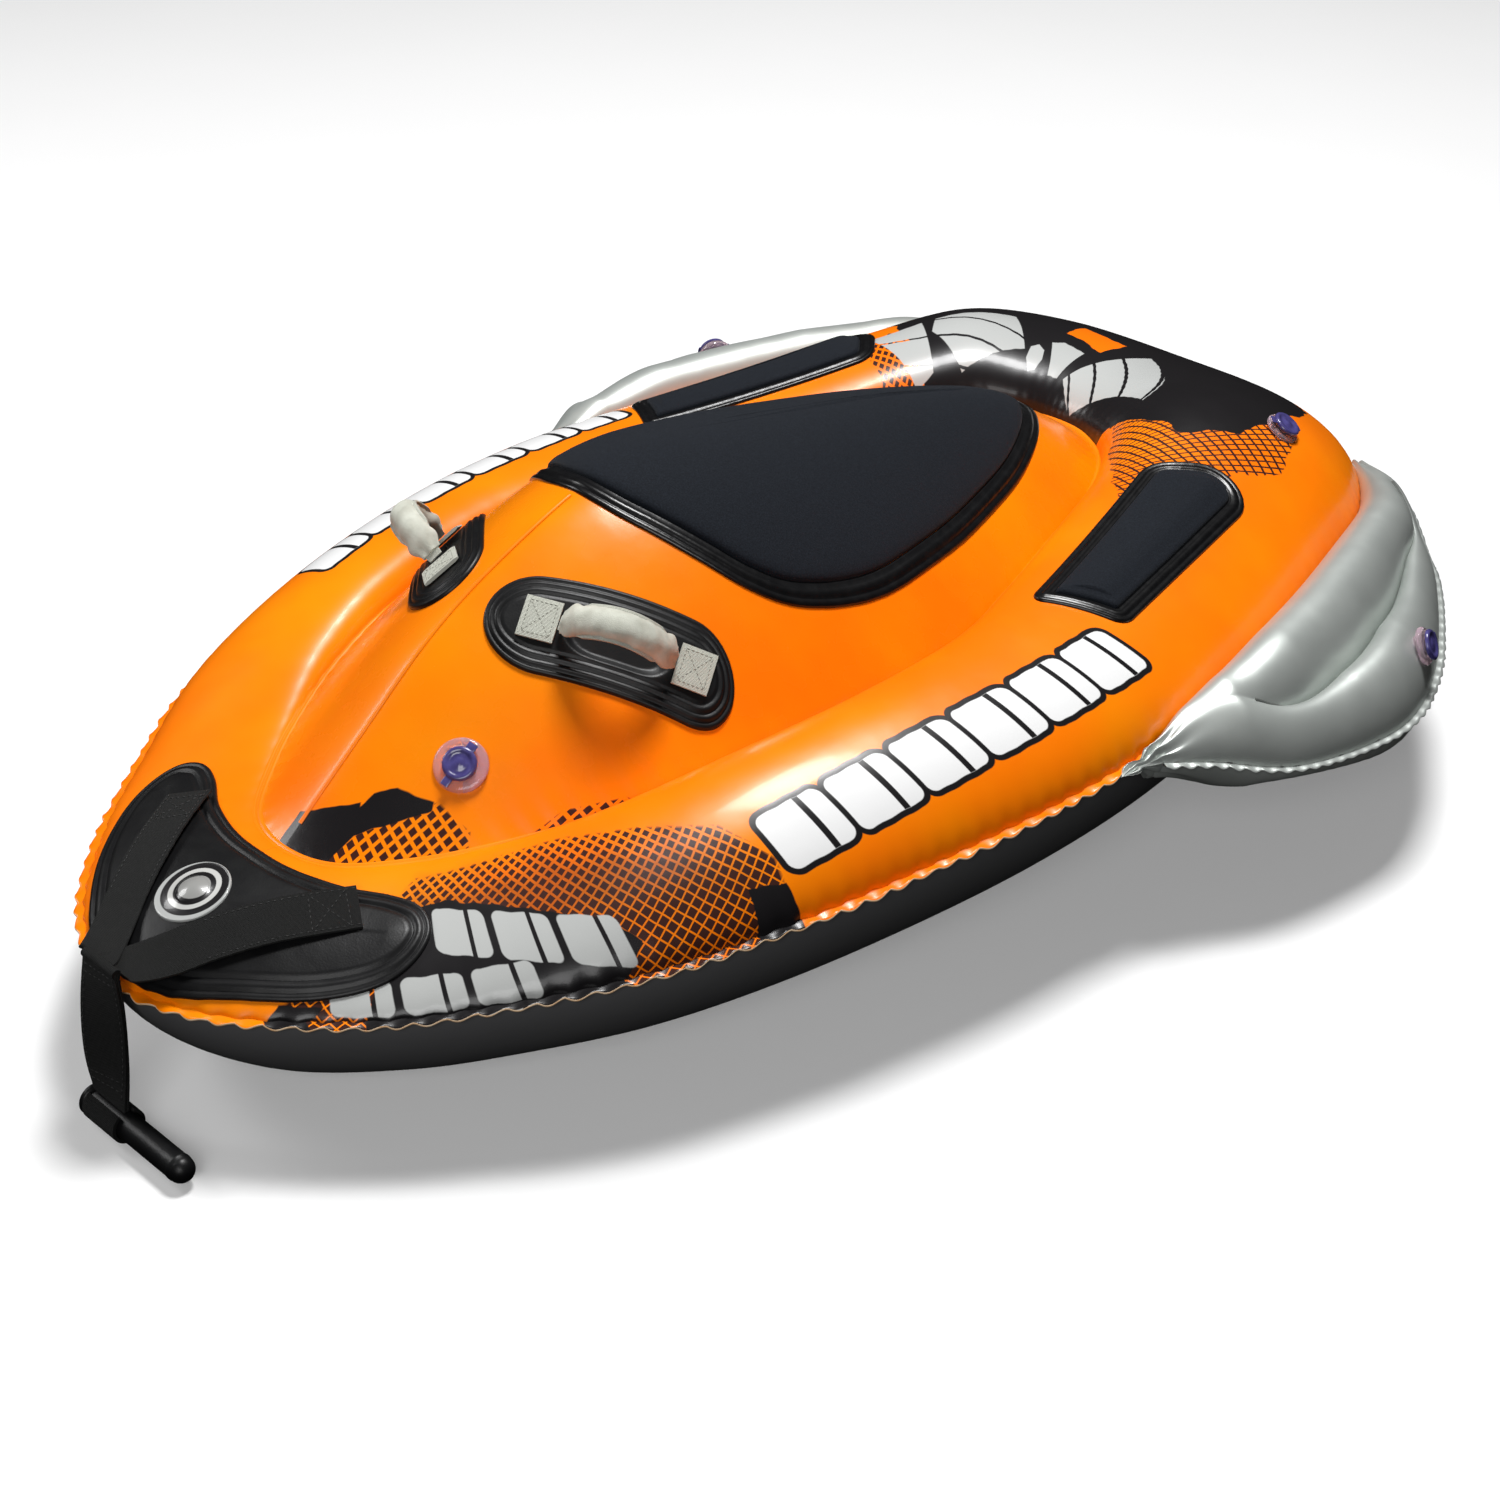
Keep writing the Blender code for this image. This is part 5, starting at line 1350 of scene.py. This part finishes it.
def sponson_grid(up):
    """Skin of a port sponson: rows along it, columns from the hull out to the rim.

    It is one lobe at its ends, and parted into two by a valley in between.
    """
    inner, rim = sponson_edges(up)
    run = run_length(rim)
    out = np.zeros((SPONSON_STEPS + 1, SPONSON_COLUMNS + 1, 3))
    for i in range(SPONSON_STEPS + 1):
        s = i / SPONSON_STEPS
        b = rim[i]
        a = b + (inner[i] - b) * (0.74 + 0.26 * eased(s, 0.0, 0.10))
        parted = eased(s, 0.12, 0.30) * (1 - eased(s, 0.72, 0.92))
        swelling = 0.25 + 0.75 * math.sin(math.pi * s) ** 0.35
        valley = a + (b - a) * np.interp(s, *np.array(VALLEY_SPLIT).T)
        valley[2] = b[2] + VALLEY_RISE
        lone = min(LONE_ROUND * np.linalg.norm((b - a)[:2]), LOBE_MAX) * swelling
        for c in range(SPONSON_COLUMNS + 1):
            across = c / SPONSON_COLUMNS
            first = across <= 0.5
            lo, hi, share = (a, valley, across * 2) if first else (valley, b, across * 2 - 1)
            height = min(LOBE_ROUND * np.linalg.norm((hi - lo)[:2]), LOBE_MAX) * swelling
            one = bulged(a, b, across, up * lone)
            p = one + (bulged(lo, hi, share, up * height) - one) * parted
            pull = math.exp(-abs(1 - across) * 16)
            pull += 0.3 * parted * math.exp(-abs(across - 0.5) * 40)
            p[2] += up * (0.0016 + 0.0017 * pull * math.sin(run[i] * 330 + 3 * across)
                          * (0.6 + 0.4 * math.sin(run[i] * 97 + 1)))
            tip = math.exp(-s * 20) + math.exp(-(1 - s) * 26)
            p[2] += up * 0.0040 * tip * math.sin(across * 25 + 1.3) * math.sin(math.pi * across)
            out[i, c] = p
    return out


def make_sponsons():
    top, under = sponson_grid(1), sponson_grid(-1)
    _, rim = sponson_edges(1)
    run = run_length(rim)
    out = outward(np.gradient(rim, axis=0))
    fine = np.linspace(0, run[-1], 900)
    line = np.stack([np.interp(fine, run, rim[:, k]) for k in range(3)], axis=1)
    side = np.stack([np.interp(fine, run, out[:, k]) for k in range(3)], axis=1)
    uneven = 0.55 + 0.45 * wave(fine * 21, 44)
    reach = 0.0065 + 0.0040 * scallop(fine, SPONSON_PITCH, 31) * uneven
    lift = 0.0018 * np.cos(TAU * fine / SPONSON_PITCH + 2.0 * wave(fine * 15, 8)) * uneven
    rows = []
    for share, z in ((-0.4, 0.0030), (0.0, 0.0016), (0.6, 0.0012), (1.0, 0.0005), (1.0, -0.0005),
                     (0.6, -0.0012), (0.0, -0.0016), (-0.4, -0.0030)):
        row = line + side * (reach * share)[:, None]
        row[:, 2] += z + lift * max(share, 0)
        rows.append(row)
    for sign, word in SIDES:
        flip = np.array([sign, 1, 1])
        for part, node, points, turned_over in (("skin_top", "top", top, sign > 0),
                                                ("skin_under", "under", under, sign < 0),
                                                ("rim", "flange", np.array(rows), sign < 0)):
            grid_object(f"sponson_{part}_{word}", points * flip, MATERIALS["silver"],
                        [f"sponson_{node}_{word}"], flip=turned_over)
        # Bead along the valley between the lobes, dark with painted shade of the crease
        valley = top[34:-24, SPONSON_COLUMNS // 2] * flip
        rings = tube(valley + np.array([0, 0, 0.0012]), 0.0014, 8, squash=1.3)
        capped("sponson_weld_painted_shade_" + word, rings, MATERIALS["valley"], "hull")
        make_tip(word, top, under, flip)


def make_tip(word, top, under, flip):
    """Gathered front end of a sponson: a pinched neck, then a flat tongue on the seam."""
    loop = np.concatenate([top[0], under[0][::-1]])
    middle = loop.mean(axis=0)
    station = np.linspace(SPONSON_STATIONS[0], SPONSON_STATIONS[0] - 0.26, 30)
    seam = around(SEAM, station) + plan_out(station) * 0.010 + np.array([0, 0, 0.001])
    turn = np.linspace(0, TAU, len(loop), endpoint=False)
    shape = loop - middle
    ray = shape / np.maximum(np.linalg.norm(shape, axis=1), 1e-4)[:, None]
    rings = []
    for k, centre in enumerate(seam):
        t = k / (len(seam) - 1)
        neck = 1 - 0.62 * eased(t, 0.0, 0.30)
        flat = 1 - 0.72 * eased(t, 0.30, 0.62)
        wide = neck * (1 + 0.9 * eased(t, 0.32, 0.62)) * (1 - 0.97 * eased(t, 0.66, 1.0))
        ring = centre + (middle - seam[0]) * (1 - eased(t, 0.0, 0.5)) + shape * wide
        ring[:, 2] = ring[:, 2].mean() + (ring[:, 2] - ring[:, 2].mean()) * flat
        fold = 0.0030 * math.sin(math.pi * min(t * 1.1, 1.0)) * np.sin(turn * 7 + 4 * t)
        ring += ray * (fold * wide)[:, None]
        rings.append(ring)
    capped("sponson_tip_" + word, np.array(rings) * flip, MATERIALS["silver"], "hull")


# ---------------------------------------------------------------- valves

def turned(name, profile, place, material, body, node, sides=40):
    """Solid of revolution from (radius, height) pairs, in the frame of place."""
    angles = np.linspace(0, TAU, sides, endpoint=False)
    rings = np.array([[place @ Vector((r * math.cos(a), r * math.sin(a), z)) for a in angles]
                      for r, z in profile])
    return capped(name, rings, material, body, [node])


def valve_frame(word, ring_r):
    """Frame at the middle of a valve's mouth: X towards the tether's hinge, Z out of the skin."""
    joint = JOINTS[f"cap_{word}_open"]
    hinge, turn = Vector(joint["pos_m"]), Vector(joint["axis"]).normalized()
    cap = Vector(corners_of("valve_cap_" + word).mean(0))
    ring = Vector(corners_of("valve_body_" + word).mean(0))
    arm = cap - hinge
    arm -= turn * arm.dot(turn)
    z_axis = turn.cross(arm.normalized())
    if z_axis.dot(cap - ring) < 0:
        z_axis = -z_axis
    x_axis = turn.cross(z_axis)
    place = Matrix((x_axis, turn, z_axis)).transposed().to_4x4()
    place.translation = hinge - x_axis * (ring_r - 0.001) - z_axis * 0.0043
    return place


def make_valves():
    top = 0.0040
    for word, ring_r in (("hood", 0.026), ("stern", 0.020), ("port", 0.020), ("starboard", 0.020)):
        place = valve_frame(word, ring_r)
        _, turn, z_axis = (place.col[k].to_3d() for k in range(3))
        turned("valve_ring_" + word,
               [(0.0095, -0.020), (0.0125, -0.020), (0.0125, -0.004), (ring_r, -0.004),
                (ring_r + 0.0005, -0.0010), (ring_r - 0.0006, 0.0006), (ring_r - 0.0024, 0.0014),
                (CAP_R + 0.0016, 0.0022), (CAP_R + 0.0006, 0.0016), (0.0100, top - 0.0012),
                (0.0095, top - 0.0022)],
               place, MATERIALS["valve_clear"], "hull", "valve_body_" + word)
        lid = place @ Matrix.Translation((0, 0, top + 0.0003))
        turned("valve_cap_disc_" + word,
               [(0.0080, -0.0034), (0.0080, -0.0002), (CAP_R - 0.0012, 0.0), (CAP_R, 0.0008),
                (CAP_R, 0.0030), (CAP_R - 0.0014, 0.0044), (CAP_R - 0.0040, 0.0046),
                (CAP_R - 0.0052, 0.0034), (CAP_R - 0.0095, 0.0032), (CAP_R - 0.0110, 0.0040),
                (0.0001, 0.0044)],
               lid, MATERIALS["valve_violet"], "cap_" + word, "valve_cap_" + word)
        for part, x0, x1, width in (("tether", CAP_R - 0.003, ring_r - 0.0012, 0.0080),
                                    ("tab", -CAP_R - 0.0060, -CAP_R + 0.003, 0.0096)):
            path = [lid @ Vector((x, 0, 0.0016 + 0.0006 * math.sin(3 * (x - x0) / (x1 - x0))))
                    for x in np.linspace(x0, x1, 10)]
            rings = ribbon(np.array(path), [np.array(turn)] * 10, [np.array(z_axis)] * 10, width,
                           0.0016, bulge=0.6)
            capped(f"valve_{part}_{word}", rings, MATERIALS["valve_violet"], "cap_" + word)
        flap = Vector(JOINTS[f"flap_{word}_open"]["pos_m"])
        disc = place.copy()
        disc.translation += z_axis * (flap - place.translation).dot(z_axis)
        turned("valve_flap_disc_" + word,
               [(0.0001, -0.0008), (0.0105, -0.0010), (0.0118, -0.0006), (0.0118, -0.0002),
                (0.0001, 0.0)],
               disc, MATERIALS["rubber"], "flap_" + word, "valve_flap_" + word,
               sides=28)

# ---------------------------------------------------------------- floor, light and camera

def make_stage():
    size = 14.0
    mesh = bpy.data.meshes.new("floor")
    mesh.from_pydata([(-size, -size, 0), (size, -size, 0), (size, size, 0), (-size, size, 0)],
                     [], [(0, 1, 2, 3)])
    mesh.materials.append(MATERIALS["floor"])
    floor = bpy.data.objects.new("floor", mesh)
    bpy.context.scene.collection.objects.link(floor)
    floor.location.z = -0.0005
    floor.visible_glossy = False
    floor.visible_diffuse = False
    world = bpy.data.worlds.new("studio")
    world.use_nodes = True
    tree = world.node_tree
    where = tree.nodes.new("ShaderNodeTexCoord")
    split = tree.nodes.new("ShaderNodeSeparateXYZ")
    tree.links.new(where.outputs["Generated"], split.inputs[0])
    glow = Num(tree, split.outputs[2]).above(0.18, 0.9) * 0.72 + 0.10
    tree.links.new(glow.socket, tree.nodes["Background"].inputs[1])
    bpy.context.scene.world = world
    for name, place, goal, wide, tall, power in (
            ("key", (-0.2, 1.2, 5.0), (0, 0, 0.2), 1.3, 1.3, 300),
            ("front", (2.6, -3.4, 2.4), (0.1, 0.0, 0.2), 2.0, 2.0, 75),
            ("left", (-3.4, -2.0, 2.6), (0, 0, 0.2), 1.6, 1.6, 60)):
        data = bpy.data.lights.new(name, 'AREA')
        data.shape = 'RECTANGLE'
        data.size, data.size_y = wide, tall
        data.energy = power
        lamp = bpy.data.objects.new(name, data)
        lamp.location = place
        lamp.rotation_euler = (Vector(goal) - Vector(place)).to_track_quat('-Z', 'Y').to_euler()
        bpy.context.scene.collection.objects.link(lamp)
    bpy.context.scene.view_settings.view_transform = 'Standard'


def make_camera():
    azimuth, elevation, distance = math.radians(45.61), math.radians(31.67), 2.951
    target = Vector((0, 0.011, 0.042))
    back = Vector((math.sin(azimuth) * math.cos(elevation),
                   -math.cos(azimuth) * math.cos(elevation), math.sin(elevation)))
    data = bpy.data.cameras.new("camera")
    data.lens = 64.8
    data.sensor_width = 36.0
    camera = bpy.data.objects.new("camera", data)
    camera.location = target + back * distance
    camera.rotation_euler = back.to_track_quat('Z', 'Y').to_euler()
    bpy.context.scene.collection.objects.link(camera)
    bpy.context.scene.camera = camera


make_camera()
make_stage()
make_chambers()
make_rim()
make_gutter()
make_seam()
make_pads()
make_nose()
make_handles()
make_tow()
make_sponsons()
make_valves()
